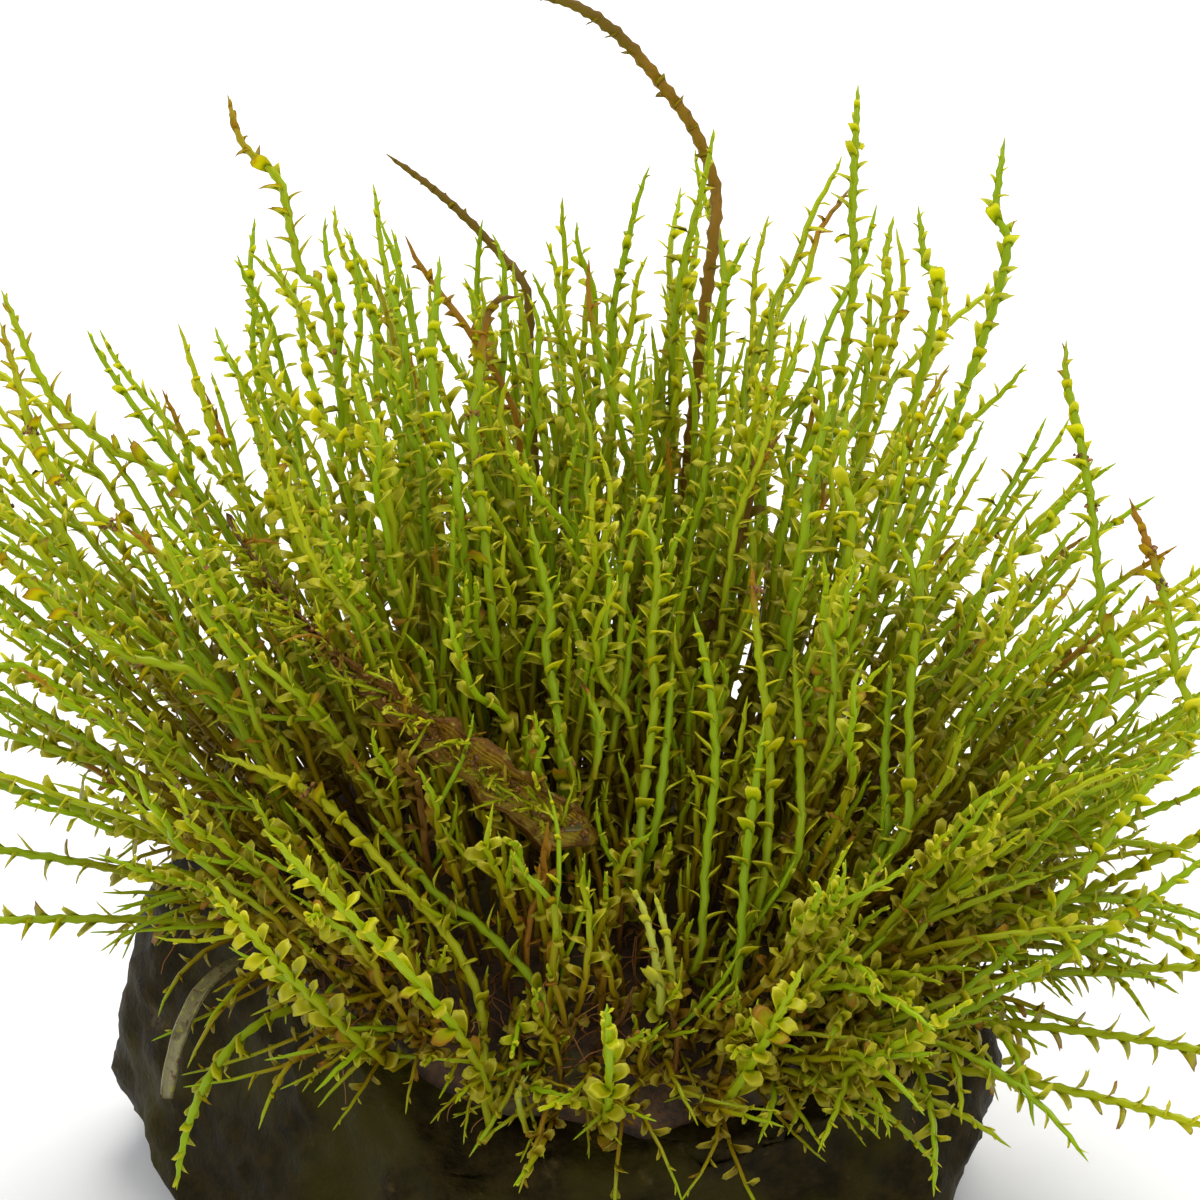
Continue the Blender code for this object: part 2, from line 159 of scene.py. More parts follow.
# %% The growth rule
MOSS_CENTRE = (-0.3 * MM, -0.1 * MM)
MOSS_RADII = (5.6 * MM, 5.1 * MM)
DOME_HEIGHT, DOME_SLOPE_RIGHT = 5.9 * MM, 0.11
DOME_SAG_X, DOME_SAG_Y, DOME_SAG_FRONT = 0.7 * MM, 1.5 * MM, 0.4 * MM
MAT_REACH, MAT_THICKNESS, MAT_EDGE = 1.04, 0.9 * MM, 0.3 * MM
LEAN_MEAN, LEAN_SIDEWAYS, LEAN_POWER = 44.0, 11.0, 1.5
LEAN_AT_ROOT, LEAN_AT_TIP = 0.8, 1.1
LENGTH_MIDDLE, LENGTH_FALL, LENGTH_FALL_BACK = 11.4 * MM, 3.0 * MM, 1.2 * MM


def oval_point(radius, azimuth):
    """Plan position in the moss's oval; radius 1 is its rim, azimuth is in degrees."""
    angle = np.radians(azimuth)
    x = MOSS_CENTRE[0] + MOSS_RADII[0] * radius * np.cos(angle)
    y = MOSS_CENTRE[1] + MOSS_RADII[1] * radius * np.sin(angle)
    return x, y


def oval_place(x, y):
    """The reverse: radius in the oval and azimuth in degrees of a plan position."""
    across = (x - MOSS_CENTRE[0]) / MOSS_RADII[0]
    along = (y - MOSS_CENTRE[1]) / MOSS_RADII[1]
    return np.hypot(across, along), np.degrees(np.arctan2(along, across))


def dome(x, y):
    """Height of the ground under the mat: a bowl turned over, tipped to the right."""
    across = (x - MOSS_CENTRE[0]) / MOSS_RADII[0]
    along = (y - MOSS_CENTRE[1]) / MOSS_RADII[1]
    sag = DOME_SAG_X * across ** 2 + (DOME_SAG_Y - DOME_SAG_FRONT * along) * along ** 2
    return DOME_HEIGHT - DOME_SLOPE_RIGHT * x - sag


def mat_top(x, y, radius):
    """Height of the mat's upper face: thick in the middle, thin at the edge."""
    flatness = np.maximum(0.0, 1.0 - (radius / MAT_REACH) ** 2)
    return dome(x, y) + MAT_EDGE + (MAT_THICKNESS - MAT_EDGE) * np.sqrt(flatness)


def leaning(heading, lean):
    """Unit vectors that lean from the vertical towards a heading, both in degrees."""
    turn, tilt = np.radians(heading), np.radians(lean)
    flat = np.sin(tilt)
    return np.stack(np.broadcast_arrays(flat * np.cos(turn), flat * np.sin(turn), np.cos(tilt)), -1)


def growth(radius, azimuth, height):
    """Points on shoots: half a shoot's length at the root's lean, half at the tip's, as an arc."""
    x, y = oval_point(radius, azimuth)
    root = np.stack(np.broadcast_arrays(x, y, mat_top(x, y, radius)), -1)
    angle = np.radians(azimuth)
    lean = (LEAN_MEAN + LEAN_SIDEWAYS * np.cos(2.0 * angle)) * radius ** LEAN_POWER
    length = LENGTH_MIDDLE - (LENGTH_FALL - LENGTH_FALL_BACK * np.sin(angle)) * radius ** 2
    knee = 0.5 * length[..., None] * leaning(azimuth, lean * LEAN_AT_ROOT)
    tip = knee + 0.5 * length[..., None] * leaning(azimuth, lean * LEAN_AT_TIP)
    rise = np.asarray(height)[..., None]
    return root + 2.0 * rise * (1.0 - rise) * knee + rise ** 2 * tip


print("a shoot in the middle is", round(LENGTH_MIDDLE / MM, 1), "mm long")

# %% [markdown]
# ## Shader maths in plain Python
# A material is a graph of nodes. Writing it as sums and products is easier to read than a
# list of links, so one small class wraps a socket and lets Python's operators add the Math
# nodes. Any other node comes from one method that takes its type, settings and inputs.

# %% The node kit
class Wire:
    """An output socket that can be added, subtracted and multiplied."""

    def __init__(self, kit, socket):
        self.kit, self.socket = kit, socket

    def maths(self, operation, first, second):
        """A Math node of that operation on two wires or numbers."""
        return self.kit.node("ShaderNodeMath", {"operation": operation}, {0: first, 1: second})

    def __add__(self, other):
        return self.maths("ADD", self, other)

    def __radd__(self, other):
        return self.maths("ADD", other, self)

    def __sub__(self, other):
        return self.maths("SUBTRACT", self, other)

    def __rsub__(self, other):
        return self.maths("SUBTRACT", other, self)

    def __mul__(self, other):
        return self.maths("MULTIPLY", self, other)

    def __rmul__(self, other):
        return self.maths("MULTIPLY", other, self)


class Kit:
    """One material's node tree and the few calls that build it."""

    def __init__(self, name):
        self.material = bpy.data.materials.new(name)
        self.material.use_nodes = True
        self.tree = self.material.node_tree
        self.tree.nodes.clear()

    def node(self, kind, settings=None, inputs=None, output=0):
        """Adds a node: its settings first, then the values or links of its inputs."""
        made = self.tree.nodes.new(kind)
        for key, value in (settings or {}).items():
            setattr(made, key, value)
        for key, value in (inputs or {}).items():
            if isinstance(value, Wire):
                self.tree.links.new(value.socket, made.inputs[key])
            else:
                made.inputs[key].default_value = value
        return Wire(self, made.outputs[output])

    def paint(self):
        """The growth attribute as four wires: age, tone, horn and dead."""
        held = self.node("ShaderNodeAttribute", {"attribute_name": "growth"})
        dead = Wire(self, held.socket.node.outputs["Alpha"])
        split = self.node("ShaderNodeSeparateColor", None, {0: held}).socket.node
        return [Wire(self, split.outputs[index]) for index in range(3)] + [dead]

    def place(self):
        """Object coordinates, in metres."""
        return self.node("ShaderNodeTexCoord", None, None, "Object")

    def noise(self, size, detail=3.0, roughness=0.55):
        """Cloudy noise whose blotches are about size metres across, from 0 to 1."""
        inputs = {"Vector": self.place(), "Scale": 1.0 / size, "Detail": detail, "Roughness": roughness}
        return self.node("ShaderNodeTexNoise", None, inputs)

    def ramp(self, value, low, high):
        """0 below low, 1 above high, and an S-curve between."""
        settings = {"interpolation_type": "SMOOTHSTEP"}
        return self.node("ShaderNodeMapRange", settings, {"Value": value, "From Min": low, "From Max": high})

    def mix(self, share, first, second):
        """A colour a share of the way from first to second."""
        pair = [(*c, 1.0) if isinstance(c, tuple) else c for c in (first, second)]
        return self.node("ShaderNodeMix", {"data_type": "RGBA"}, {0: share, 6: pair[0], 7: pair[1]}, 2)

    def bump(self, height, strength, distance):
        """A normal from a height, for relief too fine for the mesh."""
        return self.node("ShaderNodeBump", None,
                         {"Height": height, "Strength": strength, "Distance": distance})

    def finish(self, shader):
        """Wires the last shader to the surface."""
        out = self.tree.nodes.new("ShaderNodeOutputMaterial")
        self.tree.links.new(shader.socket, out.inputs["Surface"])
        return self.material


# %% [markdown]
# ## The wet green of living shoots
# A moss leaf is one cell thick. It is glossy with water, and light from behind comes through
# it, which makes the clump glow. A Principled shader gives the wet skin, and a Translucent
# shader of a lighter green gives the glow. The paint turns old growth brown and young tips
# lime. It keeps living stems greener than the leaves, and paints the leaves' rims pale gold:
# partly their own pale border, partly a painted highlight.

# %% Moss material
OLD_BROWN, OLIVE = (0.200, 0.105, 0.003), (0.330, 0.240, 0.003)
LEAF_GREEN, LIME, YELLOW_LIME = (0.370, 0.370, 0.003), (0.480, 0.560, 0.006), (0.620, 0.590, 0.008)
STEM_GREEN, TIP_GREEN, PALE_GREEN = (0.240, 0.430, 0.008), (0.380, 0.520, 0.040), (0.800, 0.820, 0.180)
# The first of these two is the pale gold of the leaf rims: partly their own pale border, partly a painted
# highlight.
PALE_RIM_AND_HIGHLIGHT, HORN_RED = (0.860, 0.810, 0.100), (0.240, 0.055, 0.012)
DEAD_ORANGE, DEAD_BROWN = (0.400, 0.170, 0.015), (0.120, 0.050, 0.012)
GLOW = (0.960, 0.930, 0.080)
WARM_SHINE = (1.0, 0.96, 0.45, 1.0)   # colour of the gloss, set on the shader itself


def moss_material(name):
    """Green that follows age and tone, pale golden rims that are partly painted highlight, dead parts orange
    to brown.
    """
    kit = Kit(name)
    age, tone, horn, dead = kit.paint()
    patch = kit.noise(1.4 * MM, 2.0) - 0.5
    fleck = kit.ramp(kit.noise(0.16 * MM, 2.0), 0.58, 0.72)
    aged = age + patch * 0.45
    colour = kit.mix(kit.ramp(aged, 0.02, 0.34), OLD_BROWN, OLIVE)
    colour = kit.mix(kit.ramp(aged, 0.26, 0.58), colour, LEAF_GREEN)
    young = kit.mix(kit.ramp(tone, 0.15, 0.80), LIME, YELLOW_LIME)
    young = kit.mix(kit.ramp(tone, 1.2, 2.0) * 0.8, young, PALE_GREEN)
    colour = kit.mix(kit.ramp(aged, 0.46, 0.88) * 0.92, colour, young)
    sap = kit.ramp(horn, 0.40, 0.0) * kit.ramp(aged, 0.25, 0.60) * (0.75 - kit.ramp(tone, 0.2, 1.4) * 0.55)
    colour = kit.mix(sap, colour, STEM_GREEN)
    colour = kit.mix(kit.ramp(age, 0.95, 1.0) * 0.5, colour, TIP_GREEN)
    # Rims turn pale gold, more on young leaves: partly the leaves' own pale border, partly a painted
    # highlight; dead rims turn red.
    rim_colour_and_highlight = kit.mix(kit.ramp(dead, 0.10, 0.30), PALE_RIM_AND_HIGHLIGHT, HORN_RED)
    colour = kit.mix(kit.ramp(horn, 0.50, 1.0) * (0.35 + kit.ramp(age, 0.1, 0.8) * 0.40), colour, rim_colour_and_highlight)
    withered = kit.mix(kit.ramp(dead + fleck * 0.25, 0.5, 0.95), DEAD_ORANGE, DEAD_BROWN)
    colour = kit.mix(kit.ramp(dead + fleck * 0.18, 0.12, 0.55), colour, withered)
    skin = kit.node("ShaderNodeBsdfPrincipled", None, {
        "Base Color": colour, "Roughness": 0.30 + kit.ramp(dead, 0.2, 0.8) * 0.3,
        "IOR": 1.38, "Specular Tint": WARM_SHINE, "Coat Weight": 0.1, "Coat Roughness": 0.05})
    bright = kit.mix(0.22 + kit.ramp(age, 0.15, 0.8) * 0.30, colour, GLOW)
    through = kit.node("ShaderNodeBsdfTranslucent", None, {"Color": bright})
    share = 0.30 + kit.ramp(age, 0.1, 0.8) * 0.12 + kit.ramp(horn, 0.0, 0.5) * 0.28
    return kit.finish(kit.node("ShaderNodeMixShader", None, {0: share, 1: skin, 2: through}))


moss = moss_material("wet_moss")

# %% [markdown]
# ## The shape of a leaf
# Each leaf is a small cup that clasps the stem. The fine kind ends in two horns with a
# shallow notch between them, and the plain kind is rounder and has fewer faces. A leaf is
# worked out as a flaring sheet: across it runs the angle round the stem, along it the
# distance from the stem, and each column has its own length. The sheet bends outwards as it
# climbs. An inner sheet, drawn in by the leaf's thickness, shares the rim with the outer
# one, so that the leaf is closed.

# %% Leaf grids
LEAF_KINDS = {                        # rows along the leaf, columns across it, length of each column
    "fine": ([0.0, 0.35, 0.72, 1.0],
             [-1.0, -0.80, -0.52, -0.26, 0.0, 0.26, 0.52, 0.80, 1.0],
             [0.30, 0.72, 1.00, 0.90, 0.82, 0.90, 1.00, 0.72, 0.30]),
    "plain": ([0.0, 0.60, 1.0], [-1.0, -0.55, 0.0, 0.55, 1.0], [0.30, 0.88, 1.00, 0.88, 0.30]),
}
LEAF_WALL = 0.022 * MM
CLASP_AT_STEM, CLASP_AT_RIM = 72.0, 25.0      # half the angle that a leaf takes round the stem
FOOT_DEPTH, SIDE_DROP = 0.85, 0.25            # in stem radii, and in leaf lengths at the sides


def sheet_faces(columns, rows):
    """Quads of the outer and the inner sheet; they share the border points."""
    outer = np.arange(columns * rows).reshape(columns, rows)
    inner = outer.copy()
    hidden = (columns - 2) * (rows - 2)
    inner[1:-1, 1:-1] = columns * rows + np.arange(hidden).reshape(columns - 2, rows - 2)
    sheets = []
    for sheet, order in ((outer, (0, 1, 2, 3)), (inner, (0, 3, 2, 1))):
        around = (sheet[:-1, :-1], sheet[1:, :-1], sheet[1:, 1:], sheet[:-1, 1:])
        sheets.append(np.stack([around[step] for step in order], -1).reshape(-1, 4))
    return np.concatenate(sheets)

# %% [markdown]
# ## Placing the leaves
# All leaves of a group of shoots are made in one go: every leaf's grid is bent by its own
# lean, and turned into the three axes of its place on the stem.

# %% Add leaves
def add_leaves(heap, kind, foot, axes, thickness, length, spread, recurve, roundness, paint):
    """Adds leaves at foot points, each with axes (out, side, up) and its own size and pose.

    A column's run is length * share(a). Row by row it climbs by run * cos(lean) and moves
    away by run * sin(lean); the lean starts at spread and grows by recurve to the rim. Round
    the stem a point is turned by a times the clasp, which narrows from the stem to the rim.
    """
    rows, across, horned = (np.array(values) for values in LEAF_KINDS[kind])
    out, side, up = (axes[:, index, None, None, :] for index in range(3))
    share = blend(horned, 0.95 - 0.60 * across ** 2, roundness[:, None])
    middles = 0.5 * (rows[1:] + rows[:-1])
    lean = np.radians(spread[:, None, None] + recurve[:, None, None] * middles * share[:, :, None])
    step = (length[:, None] * share)[:, :, None] * np.diff(rows)
    away = np.zeros((len(foot), len(across), len(rows)))
    climb = np.zeros_like(away)
    away[:, :, 1:] = np.cumsum(step * np.sin(lean), axis=2)
    climb[:, :, 1:] = np.cumsum(step * np.cos(lean), axis=2)
    away += FOOT_DEPTH * thickness[:, None, None]
    climb -= SIDE_DROP * length[:, None, None] * across[:, None] ** 2 * (1.0 - rows)
    clasp = np.radians(blend(CLASP_AT_STEM, CLASP_AT_RIM, (rows * share[:, :, None]) ** 0.75))
    turn = across[:, None] * clasp
    radial = np.cos(turn)[..., None] * out + np.sin(turn)[..., None] * side
    points = foot[:, None, None, :] + away[..., None] * radial + climb[..., None] * up
    tilt = np.radians(spread)[:, None, None, None]
    inner = (points - LEAF_WALL * (np.cos(tilt) * radial - np.sin(tilt) * up))[:, 1:-1, 1:-1]
    leaves = len(foot)
    grid = np.concatenate([points.reshape(leaves, -1, 3), inner.reshape(leaves, -1, 3)], 1)
    horn = np.broadcast_to(np.maximum(rows, np.abs(across[:, None]) ** 4 * 0.9), away.shape)
    horn = np.concatenate([horn.reshape(leaves, -1), horn[:, 1:-1, 1:-1].reshape(leaves, -1)], 1)
    coat = np.repeat(paint[:, None, :], grid.shape[1], axis=1)
    coat[:, :, 2] = horn
    coat[:, :, 3] += paint[:, None, 2] * horn ** 2
    heap.add(grid, coat, sheet_faces(len(across), len(rows)))


# %% [markdown]
# ## The shape of a shoot
# A stem is a round profile carried along a path. It swells a little where each leaf sits,
# bends slightly away from it, and ends in a bullet-shaped bud. The leaves stand in two rows
# that turn slowly round the stem, close together near the tip and further apart below.

# %% Stems with their leaves
SIDES_AND_STEPS = {"fine": (7, 2), "plain": (5, 1)}   # profile sides, rings a leaf
STEM_RADIUS = 0.060 * MM
LEAF_LENGTH = 0.35 * MM
LEAF_SPACING = 0.29 * MM
GROWN_LENGTH = 8.5 * MM              # a shoot this long is fully green at its tip
BUD_LENGTH = 0.85 * MM
BULLET_LENGTH, TAPER_LENGTH = 0.40 * MM, 1.8 * MM
THINNEST = 0.012 * MM
VIGOUR_SHORT, VIGOUR_GAIN, VIGOUR_LIMIT = 0.38, 0.54, 0.92    # age reached at a tip, by length
SPREAD_AT_TIP, SPREAD_BELOW, SPREAD_SCATTER = 12.0, 52.0, 9.0   # degrees from the stem
RECURVE_AT_TIP, RECURVE_BELOW, RECURVE_SCATTER = 5.0, 24.0, 26.0


def stem_faces(rings, sides):
    """Quads along the tube and triangles that close its root and its tip."""
    ring = np.arange(rings * sides).reshape(rings, sides)
    following = np.roll(ring, -1, axis=1)
    quads = np.stack([ring[:-1], following[:-1], following[1:], ring[1:]], -1).reshape(-1, 4)
    root, tip = rings * sides, rings * sides + 1
    root_fan = np.stack([following[0], ring[0], np.full(sides, root)], -1)
    tip_fan = np.stack([ring[-1], following[-1], np.full(sides, tip)], -1)
    return quads, np.concatenate([root_fan, tip_fan])


def even_steps(paths, ends, count, crowding):
    """Paths, each cut at its end share, read again at count places, closer towards the tip."""
    lengths = np.linalg.norm(np.diff(paths, axis=1), axis=2)
    run = np.concatenate([np.zeros((len(paths), 1)), np.cumsum(lengths, axis=1)], axis=1)
    from_tip = np.linspace(1.0, 0.0, count)
    share = 1.0 - (crowding * from_tip + (1.0 - crowding) * from_tip ** 2)
    read = np.empty((len(paths), count, 3))
    for index, (along, path, end) in enumerate(zip(run, paths, ends)):
        for axis in range(3):
            read[index, :, axis] = np.interp(share * along[-1] * end, along, path[:, axis])
    return read, run[:, -1] * ends, share

# %% [markdown]
# ## From paths to shoots
# Each call grows many shoots of like length at once, all with the same number of leaves. The
# stem's radius, the place and pose of the leaves and the paint all follow the distance from
# the tip, because a shoot grows at its tip: the youngest leaves there are small and shut.

# %% Grow shoots along paths
def add_shoots(heap, kind, paths, rng, ends=None, thickness=STEM_RADIUS, leaf_length=LEAF_LENGTH,
               bare_below=0.12, tone=None, dead=None, tip_dead=None, keep=0.93, crowding=0.62,
               red_horns=0.07, age_from=0.0):
    """Adds leafy shoots along paths (shoots, points, 3), root first.

    Radius: thin at the root, full by a third of the way, a bead at each leaf, a bullet at the
    tip. Leaf k turns half a circle and a little more round the stem than leaf k - 1.
    """
    shoots = len(paths)
    ends = np.ones(shoots) if ends is None else ends
    sides, steps = SIDES_AND_STEPS[kind]
    lengths = np.linalg.norm(np.diff(paths, axis=1), axis=2).sum(1) * ends
    leaves = max(4, int(round(lengths.mean() / LEAF_SPACING)))
    rings = leaves * steps + 1
    path, length, height = even_steps(paths, ends, rings, crowding)
    tone = rng.random(shoots) if tone is None else np.broadcast_to(tone, shoots)
    dead = np.zeros(shoots) if dead is None else np.broadcast_to(dead, shoots)
    tip_dead = np.zeros(shoots) if tip_dead is None else np.broadcast_to(tip_dead, shoots)
    vigour = np.minimum(VIGOUR_LIMIT, VIGOUR_SHORT + VIGOUR_GAIN * length / GROWN_LENGTH)[:, None]
    age = age_from + (vigour - age_from) * height if age_from < 0.3 else age_from + (1.0 - age_from) * height
    age = np.broadcast_to(age, (shoots, rings))

    up = unit(np.gradient(path, axis=1))
    reference = unit(rng.normal(size=(shoots, 1, 3)) * (1.0, 1.0, 0.3))
    out = unit(reference - np.sum(reference * up, -1, keepdims=True) * up)
    side = np.cross(up, out)

    leaf_index = np.arange(1, leaves)
    at_ring = leaf_index * steps
    turn = math.pi * leaf_index + np.radians(rng.uniform(4.0, 16.0, shoots))[:, None] * leaf_index
    turn = turn + rng.normal(0.0, 0.25, (shoots, len(leaf_index)))
    leaf_out = (np.cos(turn)[..., None] * out[:, at_ring] + np.sin(turn)[..., None] * side[:, at_ring])
    path = path.copy()
    path[:, at_ring] -= 0.16 * thickness * leaf_out

    from_tip = (1.0 - height)[None, :] * length[:, None]
    bullet = np.sqrt(np.clip(from_tip / BULLET_LENGTH, 0.0, 1.0))
    bullet = bullet * blend(0.70, 1.0, smooth(0.0, TAPER_LENGTH, from_tip))
    bead = np.full(rings, 0.93)
    bead[::steps] = 1.20 if steps > 1 else 1.0
    girth = thickness * blend(0.72, 1.0, smooth(0.0, 0.35, height)) * bead
    radius = np.maximum(girth[None, :] * bullet, THINNEST)

    angle = np.linspace(0.0, 2.0 * math.pi, sides, endpoint=False)
    round_it = (np.cos(angle)[:, None] * out[:, :, None, :] + np.sin(angle)[:, None] * side[:, :, None, :])
    tube = path[:, :, None, :] + radius[:, :, None, None] * round_it
    ends_at = np.stack([path[:, 0] - 0.05 * MM * up[:, 0], path[:, -1] + 0.05 * MM * up[:, -1]], 1)
    points = np.concatenate([tube.reshape(shoots, -1, 3), ends_at], 1)
    wither = dead[:, None] + tip_dead[:, None] * smooth(0.80, 0.97, height)[None, :]
    stem_paint = np.zeros((shoots, rings, 4))
    stem_paint[..., 0] = age
    stem_paint[..., 1] = tone[:, None]
    stem_paint[..., 3] = wither
    end_paint = stem_paint[:, [0, -1]]
    end_paint[:, 1, 2] = 1.0
    paint = np.concatenate([np.repeat(stem_paint, sides, axis=1), end_paint], 1)
    heap.add(points, paint, *stem_faces(rings, sides))

    tip_distance = from_tip[:, at_ring]
    growing = smooth(0.35 * BUD_LENGTH, 2.0 * BUD_LENGTH, tip_distance)
    ageing = 1.0 - smooth(0.05, 0.45, age[:, at_ring])
    size = blend(0.45, 1.0, growing) * rng.uniform(0.72, 1.22, growing.shape) * blend(1.0, 0.85, ageing)
    spread = blend(SPREAD_AT_TIP, SPREAD_BELOW, smooth(0.0, BUD_LENGTH, tip_distance))
    spread = spread + rng.normal(0.0, SPREAD_SCATTER, growing.shape)
    recurve = blend(RECURVE_AT_TIP, RECURVE_BELOW, growing) + rng.normal(0.0, RECURVE_SCATTER, growing.shape)
    roundness = np.clip(0.35 + 0.5 * ageing + rng.normal(0.0, 0.2, growing.shape), 0.0, 0.95)
    brown = (rng.random(growing.shape) < red_horns + 0.2 * ageing) * rng.uniform(0.2, 0.8, growing.shape)
    there = (rng.random(growing.shape) < keep) & (height[at_ring][None, :] > bare_below)
    there &= tip_distance > 0.06 * MM
    leaf_axes = np.stack([leaf_out, np.cross(up[:, at_ring], leaf_out), up[:, at_ring]], 2)
    leaf_paint = np.stack(np.broadcast_arrays(age[:, at_ring], tone[:, None], brown,
                                              wither[:, at_ring]), -1)
    add_leaves(heap, kind, path[:, at_ring][there], leaf_axes[there], radius[:, at_ring][there],
               (size * leaf_length)[there], spread[there], recurve[there], roundness[there],
               leaf_paint[there])


# %% [markdown]
# ## The shoots that stand out
# Some shoots stand clear at the front of the clump: one forks, one is hooked, some have dead
# brown tips. They stand in a thin layer that leans back through the clump, so each is drawn
# as a few points in that layer, in millimetres across and up, and its foot is led to
# the mat behind it.

# %% The drawing of the standing shoots
CAMERA_ELEVATION = 24.0
LOOK_AT = (0.0, 0.0, 10.76 * MM)
LAYER_FOOT = (-1.3 * MM, 11.3 * MM)   # y and z of the layer's zero line
TILT = math.radians(CAMERA_ELEVATION)
FOOT_INWARDS, FOOT_REACH = 0.72, 0.95   # how near the middle a foot is, and its furthest place
SIDE_SHOOT_RISE = 2.0                 # a shorter shoot of few points has no foot: it is a branch

STANDING_SHOOTS = (                   # nearer, tone, dead tip, then points across and up
    (0.7, 0.5, 0.0, ((4.9, -4.0), (5.1, -3.0), (5.1, -1.7), (5.25, -0.2), (5.3, 0.6), (5.6, 1.3),
                     (5.8, 2.1))),
    (0.7, 0.5, 0.0, ((5.2, -0.4), (5.25, 0.1), (5.1, 0.65), (4.9, 1.1))),
    (0.3, 0.2, 0.0, ((4.6, -4.2), (4.7, -2.7), (4.8, -1.0))),
    (0.6, 0.6, 0.0, ((0.6, -4.8), (0.7, -3.3), (0.9, -1.7), (0.85, -0.7), (0.95, 0.4), (0.8, 1.4))),
    (0.5, 0.3, 0.0, ((0.9, -3.8), (1.1, -2.3), (1.2, -1.0))),
    (0.6, 0.4, 0.0, ((-0.6, -3.0), (-0.75, -1.5), (-0.9, -0.8), (-0.8, -0.2), (-1.0, 0.7), (-1.15, 1.3))),
    (0.9, 0.4, 0.0, ((1.6, -6.0), (1.75, -4.2), (1.9, -2.7), (1.8, -1.3), (1.55, -0.2))),
    (0.9, 0.7, 0.5, ((2.6, -5.0), (2.8, -2.7), (2.6, -0.7), (2.5, 0.6))),
    (0.8, 0.6, 0.0, ((3.2, -4.3), (3.3, -2.7), (3.2, -0.8))),
    (1.2, 0.2, 0.0, ((2.2, -6.3), (2.4, -4.2), (2.7, -2.0))),
    (1.6, 1.9, 0.0, ((1.0, -6.7), (0.9, -5.8), (0.7, -5.0), (0.5, -4.7))),
    (1.6, 1.7, 0.0, ((1.2, -6.5), (1.1, -5.5), (0.9, -4.8))),
    (1.6, 2.0, 0.0, ((-1.2, -8.7), (-1.35, -8.1), (-1.2, -7.8))),
    (1.2, 1.3, 0.0, ((-1.8, -8.6), (-1.9, -7.5), (-2.0, -6.5), (-2.5, -5.5), (-3.4, -4.5), (-4.2, -3.6),
                     (-5.0, -3.0), (-6.3, -2.5))),
    (0.9, 0.5, 0.0, ((-0.7, -6.7), (-1.3, -6.0), (-2.0, -5.3), (-2.6, -4.9), (-3.2, -4.2), (-3.8, -3.5))),
    (0.3, 0.9, 0.0, ((-3.6, 2.2), (-4.1, 2.6), (-4.5, 2.9), (-5.0, 3.2), (-5.4, 3.6), (-5.6, 3.9),
                     (-5.5, 4.3), (-5.4, 4.6))),
    (0.3, 0.5, 0.9, ((-1.8, 0.0), (-1.9, 1.0), (-2.0, 2.0), (-2.1, 2.8), (-2.0, 3.7), (-1.9, 4.5),
                     (-1.75, 4.95), (-1.35, 5.05))),
    (0.2, 0.3, 0.0, ((-2.3, 1.3), (-2.4, 2.2), (-2.7, 3.2), (-2.8, 4.2), (-2.7, 5.0), (-2.65, 5.7))),
    (-3.0, 0.6, 0.4, ((-4.5, 4.5), (-5.0, 5.5), (-5.2, 6.3), (-5.4, 7.1), (-6.0, 7.7), (-6.25, 8.5))),
    (-6.0, 0.5, 0.0, ((4.2, 4.5), (4.3, 6.7), (4.4, 8.8))),
    (-6.0, 0.3, 0.0, ((6.7, 5.0), (6.75, 6.7), (6.9, 7.9))),
    (-5.0, 0.5, 0.0, ((5.6, 4.5), (5.5, 5.8), (5.4, 6.7))),
    (-4.0, 0.7, 0.0, ((4.75, 4.5), (4.8, 5.7), (4.95, 6.5))),
    (0.4, 0.4, 0.2, ((8.3, -1.7), (8.3, -0.3), (8.2, 0.7), (8.1, 1.7), (7.9, 2.8), (7.7, 3.7), (7.7, 4.3))),
    (0.4, 0.6, 0.6, ((9.4, -2.7), (9.5, -1.0), (9.2, 0.5), (8.75, 1.7))),
    (0.8, 0.4, 0.0, ((5.5, -6.7), (7.5, -5.0), (8.8, -3.3), (10.2, -1.6))),
    (0.8, 0.3, 0.0, ((5.2, -7.0), (7.0, -6.2), (8.6, -5.2), (10.3, -4.0))),
    (0.9, 0.8, 0.0, ((5.1, -5.7), (5.5, -5.1), (6.0, -4.8), (6.5, -4.5))),
    (0.2, 0.4, 0.0, ((3.3, 0.7), (3.4, 1.7), (3.6, 2.5), (3.85, 3.4))),
    (0.2, 0.6, 0.0, ((4.1, 0.7), (4.0, 2.2), (4.1, 3.3))),
    (0.8, 0.5, 1.0, ((-0.1, -2.9), (0.0, -2.1), (-0.15, -1.6), (-0.3, -1.3))),
    (0.8, 0.5, 0.8, ((0.0, -2.4), (0.05, -2.1), (0.0, -1.8))),
    (0.4, 0.8, 0.3, ((-6.5, 0.0), (-8.0, 1.2), (-8.8, 1.9), (-9.3, 2.6), (-9.6, 3.6), (-9.9, 4.6))),
    (-2.0, 0.6, 0.2, ((-6.7, 1.5), (-8.2, 2.6), (-9.2, 3.5), (-10.0, 5.2))),
    (0.8, 0.7, 0.4, ((-6.3, -1.5), (-8.0, -0.8), (-9.5, 0.4), (-10.4, 1.2))),
)
RED_HORNED_ACROSS = -6.0 * MM         # shoots that end left of this have many red horns
SEAM_RADIUS = 0.61                    # between the inner and the rim tufts, where a dead leaf lies
STRAP_AZIMUTHS, STRAP_HEIGHTS = (184.0, 274.0), (0.60, 0.20)
STRAP_SHARES = np.linspace(0.1, 1.0, 30)

# %% [markdown]
# ## Places in the leaning layer
# A drawn point has a place across and up in the layer. The layer leans back by the camera's
# elevation, so the two directions are read without distortion. The same sums, turned round,
# tell which shoots hide others.

# %% Layer and path tools
def strap_middle(share, higher=0.0):
    """The dead leaf's middle line: round the seam and down the shoots, or a little higher up."""
    heights = blend(*STRAP_HEIGHTS, share) + higher
    return growth(np.full(len(share), SEAM_RADIUS), blend(*STRAP_AZIMUTHS, share), heights)


